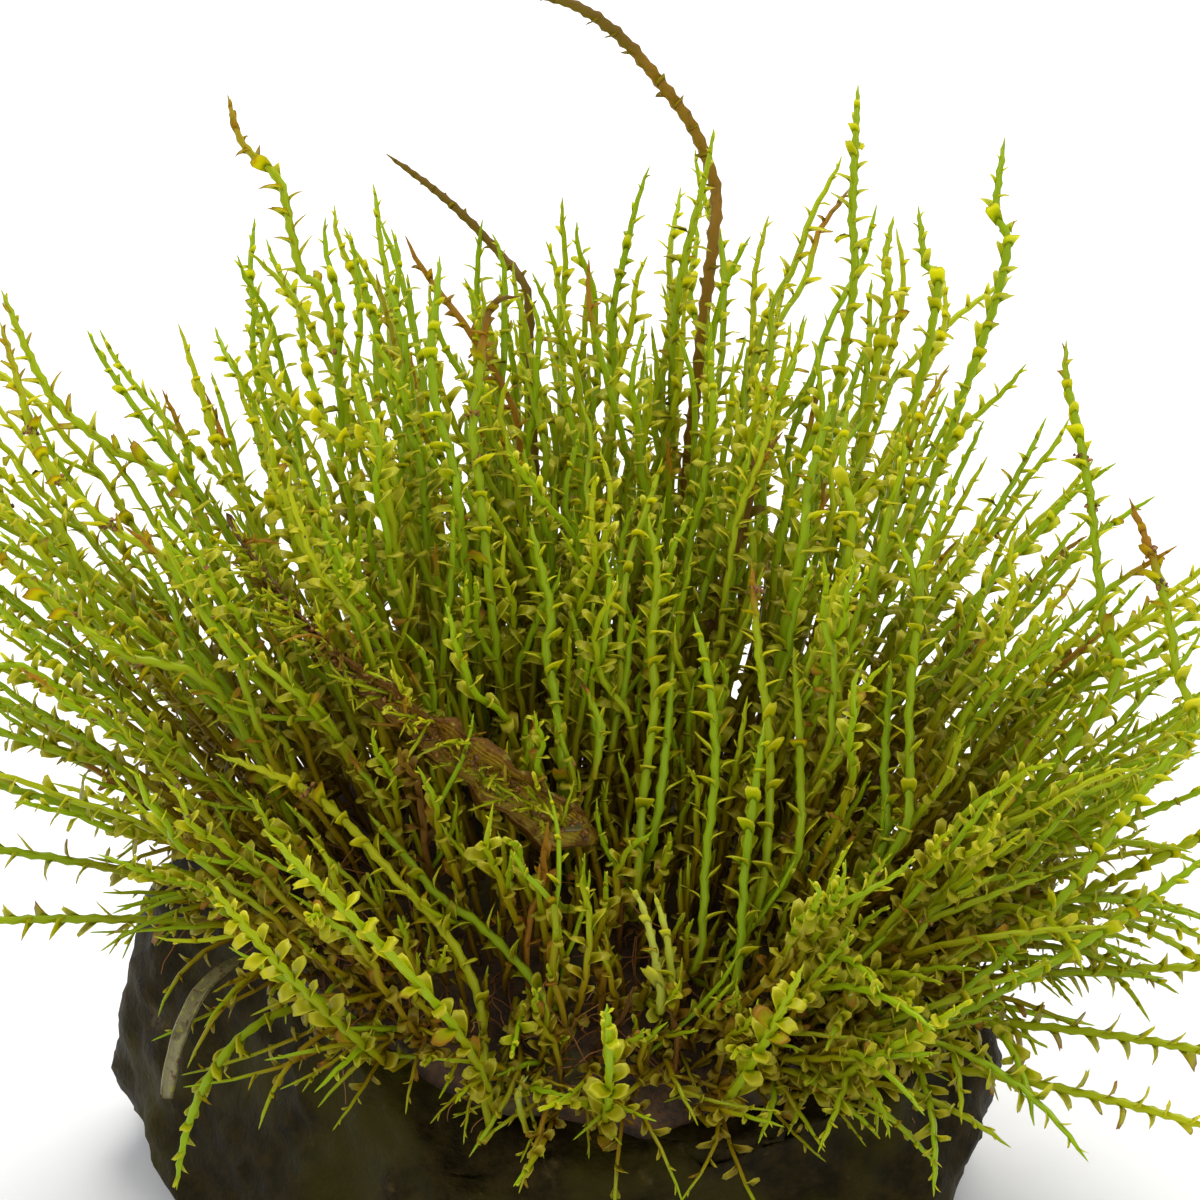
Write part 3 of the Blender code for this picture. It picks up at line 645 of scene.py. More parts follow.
def in_layer(points, nearer):
    """Places of (across, up) points in the leaning layer, brought nearer to the viewer."""
    across, up = np.asarray(points, float).T * MM
    y = LAYER_FOOT[0] + up * math.sin(TILT) - nearer * MM * math.cos(TILT)
    z = LAYER_FOOT[1] + up * math.cos(TILT) + nearer * MM * math.sin(TILT)
    return np.stack([across, y, z], -1)


def seen_height(points):
    """How far a point lies above the middle of the view, measured across the line of sight."""
    return (points[..., 2] - LOOK_AT[2]) * math.cos(TILT) + points[..., 1] * math.sin(TILT)


def nearness(points):
    """How far a point lies towards the viewer."""
    return points[..., 2] * math.sin(TILT) - points[..., 1] * math.cos(TILT)


def smooth_path(points, count=40):
    """A soft curve through the points: Catmull-Rom, each stretch aims at its neighbours."""
    points = np.asarray(points, float)
    share = np.linspace(0.0, len(points) - 1.0, count)
    low = np.clip(np.floor(share).astype(int), 0, len(points) - 2)
    t = (share - low)[:, None]
    before, after = np.clip(low - 1, 0, None), np.clip(low + 2, None, len(points) - 1)
    p0, p1, p2, p3 = points[before], points[low], points[low + 1], points[after]
    return 0.5 * (2 * p1 + (p2 - p0) * t + (2 * p0 - 5 * p1 + 4 * p2 - p3) * t ** 2
                  + (3 * p1 - p0 - 3 * p2 + p3) * t ** 3)


def led_to_the_mat(places):
    """The drawn points with a foot on the mat before them."""
    x, y = (MOSS_CENTRE[axis] + FOOT_INWARDS * (places[0, axis] - MOSS_CENTRE[axis]) for axis in (0, 1))
    radius, azimuth = oval_place(x, y)
    if radius > FOOT_REACH:
        x, y = oval_point(FOOT_REACH, azimuth)
        radius = FOOT_REACH
    return np.concatenate([[[x, y, mat_top(x, y, radius)]], places])

# %% [markdown]
# ## Growing the standing shoots
# Each drawn shoot becomes a soft curve with a foot on the mat, and gets the fine kind of
# leaf. Its upper part is kept as a window, a place that other shoots must not hide. The old
# leaf between the tufts gets windows too.

# %% Grow the standing shoots
rng = np.random.default_rng(50)
heap = Heap()
windows = []                          # places that the shoots in front of them leave free
for nearer, tone, dead_tip, points in STANDING_SHOOTS:
    places = in_layer(points, nearer)
    short = len(points) < 5 and points[-1][1] - points[0][1] < SIDE_SHOOT_RISE
    path = smooth_path(places if short else led_to_the_mat(places), 60)
    red = 0.5 if places[-1, 0] < RED_HORNED_ACROSS else 0.08
    add_shoots(heap, "fine", path[None], rng, tone=tone, tip_dead=dead_tip, keep=0.97, red_horns=red,
               bare_below=0.0, leaf_length=1.1 * LEAF_LENGTH, thickness=1.2 * STEM_RADIUS, age_from=0.35)
    windows.append(smooth_path(places, 24)[4:])
strap_line = strap_middle(STRAP_SHARES)
windows = np.concatenate(windows + [strap_line[::2]])
hand_over("standing_shoots", heap.mesh("standing_shoots"), moss, [])
print(len(STANDING_SHOOTS), "standing shoots,", triangle_count["standing_shoots"], "triangles")

# %% [markdown]
# ## Where the shoots of a tuft are rooted
# Each tuft covers a patch of the oval: a ring sector with a crown height, the same figures as
# its solid. Roots are strewn evenly over the patch. Every shoot gets its own length, a small
# change of place on its way up, slow waves, and sometimes a hooked tip. The clump is lower in
# front and steps down at the right, so a crown line says how high the tips may reach. Shoots
# also stop short of the standing shoots, which need a free view.

# %% The tufts' patches and the crown line
TUFTS = {                             # inner radius, outer radius, azimuth, half width, crown
    "tuft_center": (0.00, 0.25, 0.0, 180.0, 0.62),
    "tuft_inner_right": (0.30, 0.56, 0.0, 45.0, 0.74),
    "tuft_inner_back": (0.30, 0.56, 90.0, 45.0, 0.80),
    "tuft_inner_left": (0.30, 0.56, 180.0, 45.0, 0.80),
    "tuft_inner_front": (0.30, 0.56, 270.0, 45.0, 0.58),
    "tuft_rim_right": (0.66, 1.00, 0.0, 22.5, 0.95),
    "tuft_rim_back_right": (0.66, 1.00, 45.0, 22.5, 1.05),
    "tuft_rim_back": (0.66, 1.00, 90.0, 22.5, 1.08),
    "tuft_rim_back_left": (0.66, 1.00, 135.0, 22.5, 1.02),
    "tuft_rim_left": (0.66, 1.00, 180.0, 22.5, 0.98),
    "tuft_rim_front_left": (0.66, 1.00, 225.0, 22.5, 0.74),
    "tuft_rim_front": (0.66, 1.00, 270.0, 22.5, 0.64),
    "tuft_rim_front_right": (0.66, 1.00, 315.0, 22.5, 0.76),
}
AIR = 0.05                            # the roots also fill the gap between two solids
CROWN_LINE = np.array((             # across and up, in millimetres
    (-12.0, 4.6), (-10.0, 5.0), (-8.6, 4.8), (-7.4, 3.2), (-6.8, 3.7), (-6.0, 6.4), (-5.2, 7.1),
    (-4.2, 6.9), (-2.7, 6.6), (-1.4, 5.8), (-0.4, 7.4), (1.7, 7.7), (2.4, 6.3), (3.3, 7.2),
    (5.5, 6.7), (6.9, 6.0), (7.8, 4.0), (8.6, 2.2), (10.0, 1.4), (12.0, 0.6),
)) * MM
WINDOW_RADIUS, WINDOW_DEPTH = 0.40 * MM, 0.12 * MM
SWAYS = ((0.9, 0.45 * MM), (2.2, 0.22 * MM), (5.5, 0.07 * MM))   # waves along a shoot, their reach

# %% [markdown]
# ## From roots to paths
# The growth rule gives each shoot its arc. Drift, sway and a hooked tip make it a plant and
# not a bristle. Where a path leaves the free view, its shoot ends.

# %% Roots, free view and paths
EVEN_SHARES = (0.7548776662, 0.5698402910)   # 1 / p and 1 / p^2, where p^3 = p + 1


def strewn_roots(patch, count, rng):
    """Radius and azimuth of roots: multiples of two shares that never line up, a little shaken."""
    inner, outer, middle, half, _ = patch
    low, high = max(0.0, inner - AIR) ** 2, (outer + AIR) ** 2
    step = np.arange(count) + 0.5
    share = (step * EVEN_SHARES[0] + rng.random()) % 1.0
    along = (step * EVEN_SHARES[1] + rng.random()) % 1.0
    radius = np.sqrt(blend(low, high, share)) + rng.normal(0.0, 0.012, count)
    azimuth = middle + half * (2.0 * along - 1.0) + rng.normal(0.0, 1.0, count)
    return np.abs(radius), azimuth


def in_free_view(paths):
    """True where a point is under the crown line and hides no standing shoot."""
    across, up = paths[..., 0], seen_height(paths)
    below = up < np.interp(across, CROWN_LINE[:, 0], CROWN_LINE[:, 1])
    apart = (across[..., None] - windows[:, 0]) ** 2 + (up[..., None] - seen_height(windows)) ** 2
    in_front = nearness(paths)[..., None] > nearness(windows) + WINDOW_DEPTH
    return below & ~((apart < WINDOW_RADIUS ** 2) & in_front).any(-1)


def tuft_paths(patch, count, rng, points=30):
    """Paths of a tuft's shoots, and the share of each that is grown.

    The growth rule gives the arc; each shoot drifts in or out and round, and sways in
    waves. A shoot ends at its own length or where its view stops being free.
    """
    radius, azimuth = strewn_roots(patch, count, rng)
    rise = np.linspace(0.0, 1.0, points)[None, :]
    drift_in = rng.normal(0.0, 0.07, count)[:, None]
    drift_round = rng.normal(0.0, 6.0, count)[:, None] / np.maximum(radius, 0.25)[:, None]
    paths = growth(np.abs(radius[:, None] + drift_in * rise), azimuth[:, None] + drift_round * rise,
                   rise * 1.12 * patch[4])
    for waves, reach in SWAYS:
        direction = unit(rng.normal(size=(count, 1, 3)) * (1.0, 1.0, 0.35))
        phase = rng.random((count, 1))
        sway = np.sin(2.0 * math.pi * (waves * rise + phase)) - np.sin(2.0 * math.pi * phase)
        paths = paths + direction * (reach * sway * rise ** 0.7)[..., None]
    hook = (rng.random((count, 1)) < 0.25) * rng.uniform(0.5, 1.6, (count, 1)) * MM
    sideways = unit(rng.normal(size=(count, 1, 3)) * (1.0, 1.0, 0.3))
    paths = paths + sideways * (hook * smooth(0.5, 1.05, rise))[..., None]
    free = in_free_view(paths)
    allowed = np.where(free.all(1), 1.0, np.argmin(free, axis=1) / (points - 1.0))
    own = 1.0 - 0.66 * rng.random(count) ** 1.4
    return paths, np.maximum(0.2, allowed * own)


# %% [markdown]
# ## The tufts
# The shoots of a tuft become one mesh that stands for the tuft's solid. The rim tufts show
# their whole sides, so their leaves reach lower down. The tufts at the back are a little
# thinner. Some shoots fork, so a few short branches leave their parent shoot at an angle.

# %% Grow every tuft
SHOOTS_PER_OVAL = 620
FAR_TUFTS = ("tuft_rim_back_right", "tuft_rim_back", "tuft_rim_back_left")
FAR_SHARE = 0.78
BRANCH_SHARE = 0.16
LENGTH_GROUPS = 4
grown = []                            # grown points of the shoots, for the crumbs that lie on them


def branches(paths, ends, rng, share):
    """Short side branches: each leaves its parent at a height and bends up along it again."""
    chosen = rng.random(len(paths)) < share
    parents, count = paths[chosen], int(chosen.sum())
    start = (ends[chosen] * rng.uniform(0.5, 0.85, count) * (paths.shape[1] - 3)).astype(int)
    origin = parents[np.arange(count), start]
    up = unit(parents[np.arange(count), start + 2] - origin)
    away = unit(rng.normal(size=(count, 3)) * (1.0, 1.0, 0.5))
    away = unit(away - np.sum(away * up, -1, keepdims=True) * up)
    length = rng.uniform(1.2, 2.6, count)[:, None, None] * MM
    rise = np.linspace(0.0, 1.0, 12)[None, :, None]
    apart = (rise - 0.4 * rise ** 2) * 0.8 * away[:, None]
    return origin[:, None] + length * (rise * 0.8 * up[:, None] + apart)


def grow_tuft(name, seed):
    """All shoots of one tuft in one mesh, in groups of like length."""
    rng = np.random.default_rng(seed)
    patch = TUFTS[name]
    rim = patch[0] > 0.5
    covered = ((patch[1] + AIR) ** 2 - max(0.0, patch[0] - AIR) ** 2) * patch[3] / 180.0
    count = int(round(SHOOTS_PER_OVAL * covered * (FAR_SHARE if name in FAR_TUFTS else 1.0)))
    paths, ends = tuft_paths(patch, count, rng)
    order = np.argsort(ends)
    paths, ends = paths[order], ends[order]
    lying_at = ends * rng.uniform(0.2, 0.95, count) * (paths.shape[1] - 1)
    grown.append(paths[np.arange(count), lying_at.astype(int)])
    heap = Heap()
    for group in np.array_split(np.arange(count), LENGTH_GROUPS):
        number = len(group)
        tip_dead = (rng.random(number) < 0.08) * rng.uniform(0.3, 0.9, number)
        dead = (rng.random(number) < 0.025) * rng.uniform(0.3, 0.9, number)
        add_shoots(heap, "plain", paths[group], rng, ends[group],
                   bare_below=0.08 if rim else 0.2, dead=dead, tip_dead=tip_dead)
    side_paths = branches(paths, ends, rng, BRANCH_SHARE)
    if len(side_paths):
        add_shoots(heap, "plain", side_paths, rng, bare_below=0.0, thickness=0.8 * STEM_RADIUS,
                   leaf_length=0.85 * LEAF_LENGTH, age_from=0.6)
    hand_over("leafy_" + name, heap.mesh("leafy_" + name), moss, [name])
    return count


total = 0
for seed, name in enumerate(TUFTS):
    total += grow_tuft(name, 100 + seed)
print(total, "shoots in the tufts,", sum(triangle_count.values()), "triangles")

# %% [markdown]
# ## Loose shoots at the rim
# Each loose shoot has a thin tube of its own in the frame. Its corners come in rings of six,
# so the middle line is found by sorting the corners along the tube and averaging six at a
# time. The leafy shoot then grows along that line.

# %% Read the middle lines and grow the loose shoots
TUBE_SIDES = 6


def middle_line(name):
    """Ring centres of a thin tube, root first: corners sorted along the chord, in sixes."""
    mesh = nodes[name].data
    points = np.empty(3 * len(mesh.vertices), np.float32)
    mesh.vertices.foreach_get("co", points)
    points = np.unique(np.round(points.reshape(-1, 3).astype(float), 7), axis=0)
    spread = points - points.mean(0)
    chord = np.linalg.svd(spread, full_matrices=False)[2][0]
    points = points[np.argsort(spread @ chord)]
    rings = points[: len(points) // TUBE_SIDES * TUBE_SIDES].reshape(-1, TUBE_SIDES, 3).mean(1)
    middle = np.array([*MOSS_CENTRE, DOME_HEIGHT])
    if np.linalg.norm(rings[0] - middle) > np.linalg.norm(rings[-1] - middle):
        rings = rings[::-1]
    return rings


for seed, name in enumerate(sorted(n for n in nodes if n.startswith("shoot_"))):
    rng = np.random.default_rng(300 + seed)
    heap = Heap()
    path = smooth_path(middle_line(name))
    inwards = np.array([*MOSS_CENTRE, path[0, 2]]) - path[0]
    path = np.concatenate([[path[0] + 0.12 * inwards], path])
    add_shoots(heap, "fine", path[None], rng, keep=0.95, leaf_length=1.15 * LEAF_LENGTH,
               thickness=1.15 * STEM_RADIUS,
               red_horns=0.45 if "trailing" in name else 0.15, age_from=0.25)
    hand_over("leafy_" + name, heap.mesh("leafy_" + name), moss, [name])
print("loose shoots done,", sum(triangle_count.values()), "triangles")

# %% [markdown]
# ## The low growth at the rim
# Round the foot of the clump stand short shoots, old and brown, with a few fresh ones among
# them. They hide the edge of the mat. Some hang over the stone, and at the right front
# longer ones fill the side of the clump. Each starts on the mat's rim and leans far out: its
# lean from the vertical grows along the way, and the path is the running sum of its steps.

# %% Grow the skirt
OLD_SHOOTS, HANGING_SHOOTS, RIGHT_SHOOTS, FRESH_SHOOTS = 190, 60, 80, 36


def low_paths(count, rng, points=12, hanging=0.0, between=(0.0, 360.0), lengths=(1.3, 3.6)):
    """Paths of short drooping shoots, root first, their azimuths and lengths in a range."""
    azimuth = rng.uniform(*between, count)
    radius = rng.uniform(0.88, 1.08, count)
    x, y = oval_point(radius, azimuth)
    root = np.stack([x, y, dome(x, y) + 0.25 * MM], -1)
    share = np.linspace(0.0, 1.0, points - 1)[None, :]
    heading = (azimuth + rng.normal(0.0, 22.0, count))[:, None] + rng.normal(0.0, 30.0, (count, 1)) * share
    lean = hanging + rng.uniform(38.0, 88.0, (count, 1)) + rng.uniform(-10.0, 75.0, (count, 1)) * share
    step = rng.uniform(*lengths, (count, 1, 1)) * MM / (points - 1)
    way = np.cumsum(leaning(heading, lean) * step, axis=1)
    return root[:, None] + np.concatenate([np.zeros((count, 1, 3)), way], 1)


rng = np.random.default_rng(400)
heap = Heap()
add_shoots(heap, "plain", low_paths(OLD_SHOOTS, rng), rng, bare_below=0.05,
           dead=rng.uniform(0.0, 0.55, OLD_SHOOTS) ** 2, leaf_length=0.9 * LEAF_LENGTH,
           thickness=0.8 * STEM_RADIUS, crowding=0.8, keep=0.9)
add_shoots(heap, "plain", low_paths(HANGING_SHOOTS, rng, hanging=30.0), rng, bare_below=0.0,
           dead=rng.uniform(0.0, 0.45, HANGING_SHOOTS) ** 2, thickness=0.6 * STEM_RADIUS,
           crowding=0.9, keep=1.0)
right_side = low_paths(RIGHT_SHOOTS, rng, points=18, hanging=-14.0, between=(-62.0, 12.0), lengths=(3.2, 6.5))
add_shoots(heap, "plain", right_side, rng, bare_below=0.05,
           dead=rng.uniform(0.0, 0.5, RIGHT_SHOOTS) ** 2, age_from=0.12)
add_shoots(heap, "plain", low_paths(FRESH_SHOOTS, rng), rng, bare_below=0.05, age_from=0.45,
           leaf_length=0.9 * LEAF_LENGTH, crowding=0.8)
hand_over("low_growth", heap.mesh("low_growth"), moss, [])
print("low growth:", triangle_count["low_growth"], "triangles")

# %% [markdown]
# ## Crumbs
# Wet moss catches crumbs of soil and broken leaves. They are small rough balls, scattered on
# the shoots and on the old leaf, and gathered in a few clots on the standing shoots. Each
# ball is a coarse sphere whose corners are pushed in and out at random.

# %% Scatter the crumbs
CLOTS = ((7.9, 2.4), (8.1, 1.6), (9.3, 0.3), (9.2, 0.9), (-9.0, 1.9), (-8.2, 1.2),
         (-7.6, -0.9), (-8.6, -0.4), (-9.4, 2.9), (2.7, 0.2), (-2.0, 3.2), (-2.0, 2.4),
         (-5.6, -1.2), (-4.9, -3.2), (5.0, -5.0), (3.6, -4.8))   # across and up, in millimetres
CLOT_CRUMBS, STRAP_CRUMBS = 18, 170


def crumb_material():
    """Brown and orange crumbs, matt."""
    kit = Kit("soil_crumbs")
    speck = kit.noise(0.12 * MM, 2.0)
    colour = kit.mix(kit.ramp(speck, 0.35, 0.65), (0.070, 0.028, 0.006), (0.330, 0.140, 0.020))
    skin = kit.node("ShaderNodeBsdfPrincipled", None, {"Base Color": colour, "Roughness": 0.6})
    return kit.finish(skin)


def add_crumbs(heap, centres, sizes, rng):
    """Rough balls: unit sphere points times a random swell, stretched unevenly, times a size."""
    polar = np.radians([45.0, 90.0, 135.0])
    around = np.radians(np.arange(6) * 60.0)
    ball = np.stack([np.outer(np.sin(polar), np.cos(around)), np.outer(np.sin(polar), np.sin(around)),
                     np.repeat(np.cos(polar)[:, None], 6, 1)], -1)[::-1].reshape(-1, 3)
    ball = np.concatenate([ball, [[0.0, 0.0, -1.0], [0.0, 0.0, 1.0]]])
    count = len(centres)
    swell = rng.uniform(0.6, 1.3, (count, len(ball), 1)) * rng.uniform(0.5, 1.2, (count, 1, 3))
    points = centres[:, None] + ball * swell * sizes[:, None, None]
    heap.add(points, np.zeros(4), *stem_faces(3, 6))


def on_the_strap(steps, rng):
    """Places on the old leaf: up or down its width, and hardly off its face."""
    upward = unit(strap_middle(STRAP_SHARES, 0.05) - strap_line)[steps]
    return (strap_line[steps] + upward * rng.uniform(-0.35, 0.35, (len(steps), 1)) * MM
            + rng.normal(0.0, 0.05 * MM, (len(steps), 3)))


rng = np.random.default_rng(500)
heap = Heap()
loose = np.concatenate(grown)
loose = loose[rng.random(len(loose)) < 0.6]
loose = loose + rng.normal(0.0, 0.045 * MM, loose.shape)
add_crumbs(heap, loose, rng.uniform(0.02, 0.06, len(loose)) * MM, rng)
on_strap = on_the_strap(rng.integers(3, len(strap_line) - 1, STRAP_CRUMBS), rng)
add_crumbs(heap, on_strap, rng.uniform(0.02, 0.07, STRAP_CRUMBS) * MM, rng)
for across, up in CLOTS:
    apart = (windows[:, 0] - across * MM) ** 2 + (seen_height(windows) - up * MM) ** 2
    near = windows[np.argmin(apart)] + rng.normal(0.0, 0.055 * MM, (CLOT_CRUMBS, 3))
    add_crumbs(heap, near, rng.uniform(0.02, 0.06, CLOT_CRUMBS) * MM, rng)
hand_over("soil_crumbs", heap.mesh("soil_crumbs"), crumb_material(), [])
print("crumbs:", triangle_count["soil_crumbs"], "triangles")

# %% [markdown]
# ## The dead pieces
# An old leaf lies through the front left, on its edge between the tufts. It is a strip
# whose middle line follows the solid's: round the oval and down the height of the shoots. Its
# cross-section is a shallow gutter, and its edges are torn. Two dead stems rise at the back:
# withered shoots with shrunken leaves. A pale blade hangs on the stone below the rim. Leaf,
# flap and blade share one way of making a strip and one kind of finish.

# %% Strips and their finish
STRAP_WIDTH = 1.15 * MM
CRUST_SHOOTS = 130                    # short shoots that grow on the old leaf
BLADE_ROOT, BLADE_HEADINGS, BLADE_LEANS = (1.14, 210.0), (216.0, 262.0), (96.0, 150.0)
BLADE_LENGTH, BLADE_WIDTH = 3.0 * MM, 0.34 * MM
SHEET_WALL = 0.05 * MM
SPECK_RED, SPECK_YELLOW = (0.130, 0.026, 0.004), (0.560, 0.520, 0.060)


def strip_material(name, core, edge, dark, through_share):
    """A dry leaf: two colours, blotches, fine specks and veins; the paint is add_strip's."""
    kit = Kit(name)
    along, across, _, _ = kit.paint()
    blotch = kit.noise(0.5 * MM) - 0.5
    colour = kit.mix(kit.ramp(across + blotch * 0.5, 0.35, 0.95), core, edge)
    colour = kit.mix(kit.ramp(along + blotch * 0.4, 0.35, 0.75), edge, colour)
    colour = kit.mix(kit.ramp(kit.noise(0.45 * MM, 4.0), 0.50, 0.62) * 0.85, colour, dark)
    specks = kit.noise(0.14 * MM, 3.0)
    colour = kit.mix(kit.ramp(specks, 0.58, 0.66) * 0.8, colour, SPECK_RED)
    colour = kit.mix(kit.ramp(specks, 0.42, 0.34) * 0.6, colour, SPECK_YELLOW)
    veins = kit.node("ShaderNodeMath", {"operation": "SINE"}, {0: across * 42.0})
    normal = kit.bump(veins * 0.3 + specks * 1.5 + kit.noise(0.4 * MM), 0.8, 0.07 * MM)
    skin = kit.node("ShaderNodeBsdfPrincipled", None, {
        "Base Color": colour, "Roughness": 0.35 + kit.noise(0.3 * MM) * 0.25, "Normal": normal,
        "Specular Tint": WARM_SHINE, "Coat Weight": 0.2, "Coat Roughness": 0.1})
    through = kit.node("ShaderNodeBsdfTranslucent", None, {"Color": colour})
    return kit.finish(kit.node("ShaderNodeMixShader", None, {0: through_share, 1: skin, 2: through}))

# %% [markdown]
# ## A torn strip
# A strip is a grid along its middle line. Noise on a lattice pushes its edges in and out, so
# they look torn, and waves its face. A second sheet closes it from behind.

# %% Strip mesh
def add_strip(heap, centre, side, width, gutter, torn, seed, rows=11):
    """A closed strip: side * width across, a cosine gutter deep, edges torn by noise.

    The paint's age is the share along the strip, and its tone the distance from the middle.
    """
    columns = len(centre)
    forward = unit(np.gradient(centre, axis=0))
    side = unit(side - np.sum(side * forward, -1, keepdims=True) * forward)
    facing = np.cross(side, forward)
    across = np.linspace(-1.0, 1.0, rows)
    edge = 1.0 + torn * lattice_bumps(centre[:, None] + side[:, None] * across[:, None] * 0.5 * MM,
                                      0.35 * MM, seed) * np.abs(across) ** 3
    flat = (0.5 * width[:, None] * across * edge)[..., None] * side[:, None]
    wave = 0.10 * MM * lattice_bumps(centre[:, None] + flat, 0.8 * MM, seed + 1)
    deep = (gutter * (0.5 + 0.5 * np.cos(math.pi * across)) * width[:, None] + wave)[..., None]
    points = centre[:, None] + flat + deep * facing[:, None]
    back = (points - SHEET_WALL * facing[:, None])[1:-1, 1:-1]
    grid = np.concatenate([points.reshape(-1, 3), back.reshape(-1, 3)])
    paint = np.zeros((columns, rows, 4))
    paint[..., 0] = np.linspace(0.0, 1.0, columns)[:, None]
    paint[..., 1] = np.abs(across)
    paint = np.concatenate([paint.reshape(-1, 4), paint[1:-1, 1:-1].reshape(-1, 4)])
    heap.add(grid[None], paint[None], sheet_faces(columns, rows))

# %% [markdown]
# ## The old leaf
# It stands on its edge, narrow and crusted at the upper left and wide at the lower right.
# The short shoots on it are thicker set towards its upper end. The clear flap is a shred of
# its skin.

# %% Dead leaf, its growth and its flap
share = np.linspace(0.0, 1.0, 70)
centre = strap_middle(share)
upward = unit(strap_middle(share, 0.05) - centre)
width = STRAP_WIDTH * (0.42 + 0.58 * smooth(0.2, 0.7, share)) * smooth(1.03, 0.90, share)
heap = Heap()
add_strip(heap, centre, upward, width, 0.16, 0.5, 21)
strap_finish = strip_material("dead_leaf_skin", (0.640, 0.440, 0.030), (0.260, 0.110, 0.010),
                              (0.200, 0.080, 0.010), 0.45)
hand_over("torn_leaf_strap", heap.mesh("torn_leaf_strap"), strap_finish, ["dead_leaf_strap"])

rng = np.random.default_rng(510)
root = on_the_strap(((len(strap_line) - 3) * rng.random(CRUST_SHOOTS) ** 1.4).astype(int), rng)
aim = unit(rng.normal(size=(CRUST_SHOOTS, 3)) * (0.9, 0.5, 0.6) + (-0.4, -0.5, 0.6))
bend = rng.normal(0.0, 0.25 * MM, (CRUST_SHOOTS, 1, 3))
rise = np.linspace(0.0, 1.0, 8)[None, :, None]
length = rng.uniform(0.15, 0.7, (CRUST_SHOOTS, 1, 1)) * MM
crust = root[:, None] + rise * length * aim[:, None] + bend * rise ** 2
heap = Heap()
add_shoots(heap, "plain", crust, rng, tone=rng.uniform(0.6, 1.6, CRUST_SHOOTS), bare_below=0.0,
           dead=(rng.random(CRUST_SHOOTS) < 0.25) * rng.uniform(0.3, 1.0, CRUST_SHOOTS),
           thickness=0.7 * STEM_RADIUS, leaf_length=1.05 * LEAF_LENGTH, keep=1.0, crowding=0.9,
           age_from=0.45)
hand_over("strap_growth", heap.mesh("strap_growth"), moss, [])

heap = Heap()
flap = smooth_path(in_layer(((-1.45, -3.0), (-1.1, -3.35), (-0.7, -3.6), (-0.25, -3.7)), 0.9), 24)
flap_width = 0.42 * MM * np.sin(math.pi * np.linspace(0.12, 0.95, len(flap)))
add_strip(heap, flap, np.tile([0.15, 0.3, 0.9], (len(flap), 1)), flap_width, 0.25, 0.3, 23)
flap_finish = strip_material("clear_flap", (0.500, 0.480, 0.150), (0.720, 0.620, 0.330),
                             (0.330, 0.280, 0.050), 0.5)
hand_over("clear_flap", heap.mesh("clear_flap"), flap_finish, [])

# %% [markdown]
# ## The pale blade and the dead stems
# The blade starts on the rim and turns down over the stone: heading and lean change evenly
# along it. The dead stems take their middle lines from their own solids, as the loose shoots
# do, and lose most of their leaves.

# %% Blade and stems
heap = Heap()
share = np.linspace(0.0, 1.0, 40)
heading, lean = blend(*BLADE_HEADINGS, share), blend(*BLADE_LEANS, share)
x, y = oval_point(*BLADE_ROOT)
start = np.array([x, y, dome(x, y) + 0.3 * MM])
way = np.cumsum(leaning(heading, lean) * BLADE_LENGTH / (len(share) - 1), axis=0)
add_strip(heap, start + way, leaning(heading + 90.0, 90.0 + 0.0 * lean),
          BLADE_WIDTH * (0.3 + 0.7 * np.sin(math.pi * blend(0.2, 0.88, share))), 0.2, 0.2, 25)
blade_finish = strip_material("pale_blade_skin", (0.450, 0.400, 0.210), (0.300, 0.260, 0.110),
                              (0.170, 0.150, 0.060), 0.2)
hand_over("faded_blade", heap.mesh("faded_blade"), blade_finish, ["pale_leaf_blade"])

DEAD_STEMS = (                        # seed, name, thickness, how dead, leaf length
    (31, "dead_arching_stem", 0.10 * MM, 0.75, 0.55 * LEAF_LENGTH),
    (33, "dead_thin_stem", 0.07 * MM, 0.95, 0.35 * LEAF_LENGTH),
)
for seed, name, thickness, dead, leaf_length in DEAD_STEMS:
    rng = np.random.default_rng(seed)
    heap = Heap()
    path = smooth_path(middle_line(name), 60)
    add_shoots(heap, "fine", path[None], rng, thickness=thickness, dead=dead, tip_dead=0.5, keep=0.4,
               leaf_length=leaf_length, red_horns=0.8, age_from=0.3)
    hand_over("withered_" + name, heap.mesh("withered_" + name), moss, [name])
print("dead pieces done,", sum(triangle_count.values()), "triangles")

# %% [markdown]
# ## The stone
# The stone is a merged copy of its solid, cut finer, with bumps of several sizes pushed out
# along its normals. The bumps fade out at the flat underside, so it still rests on its face.
# Its finish is dark brown-grey, matt and pitted, with olive films of algae.

# %% Stone material and mesh
def stone_material():
    """Dark stone with lighter grains, olive films of algae and paler worn patches."""
    kit = Kit("damp_stone")
    broad = kit.noise(2.6 * MM, 4.0)
    fine = kit.noise(0.35 * MM, 6.0, 0.7)
    colour = kit.mix(kit.ramp(fine, 0.35, 0.7), (0.005, 0.003, 0.001), (0.024, 0.015, 0.004))
    colour = kit.mix(kit.ramp(broad, 0.48, 0.62) * 0.7, colour, (0.030, 0.025, 0.002))
    colour = kit.mix(kit.ramp(kit.noise(0.9 * MM, 5.0, 0.65), 0.6, 0.74) * 0.6, colour, (0.085, 0.056, 0.020))
    normal = kit.bump(fine + kit.noise(0.12 * MM, 4.0) * 0.5, 0.75, 0.09 * MM)
    skin = kit.node("ShaderNodeBsdfPrincipled", None, {
        "Base Color": colour, "Roughness": 0.60 + (fine - 0.5) * 0.5, "IOR": 1.2,
        "Specular Tint": WARM_SHINE, "Normal": normal})
    return kit.finish(skin)


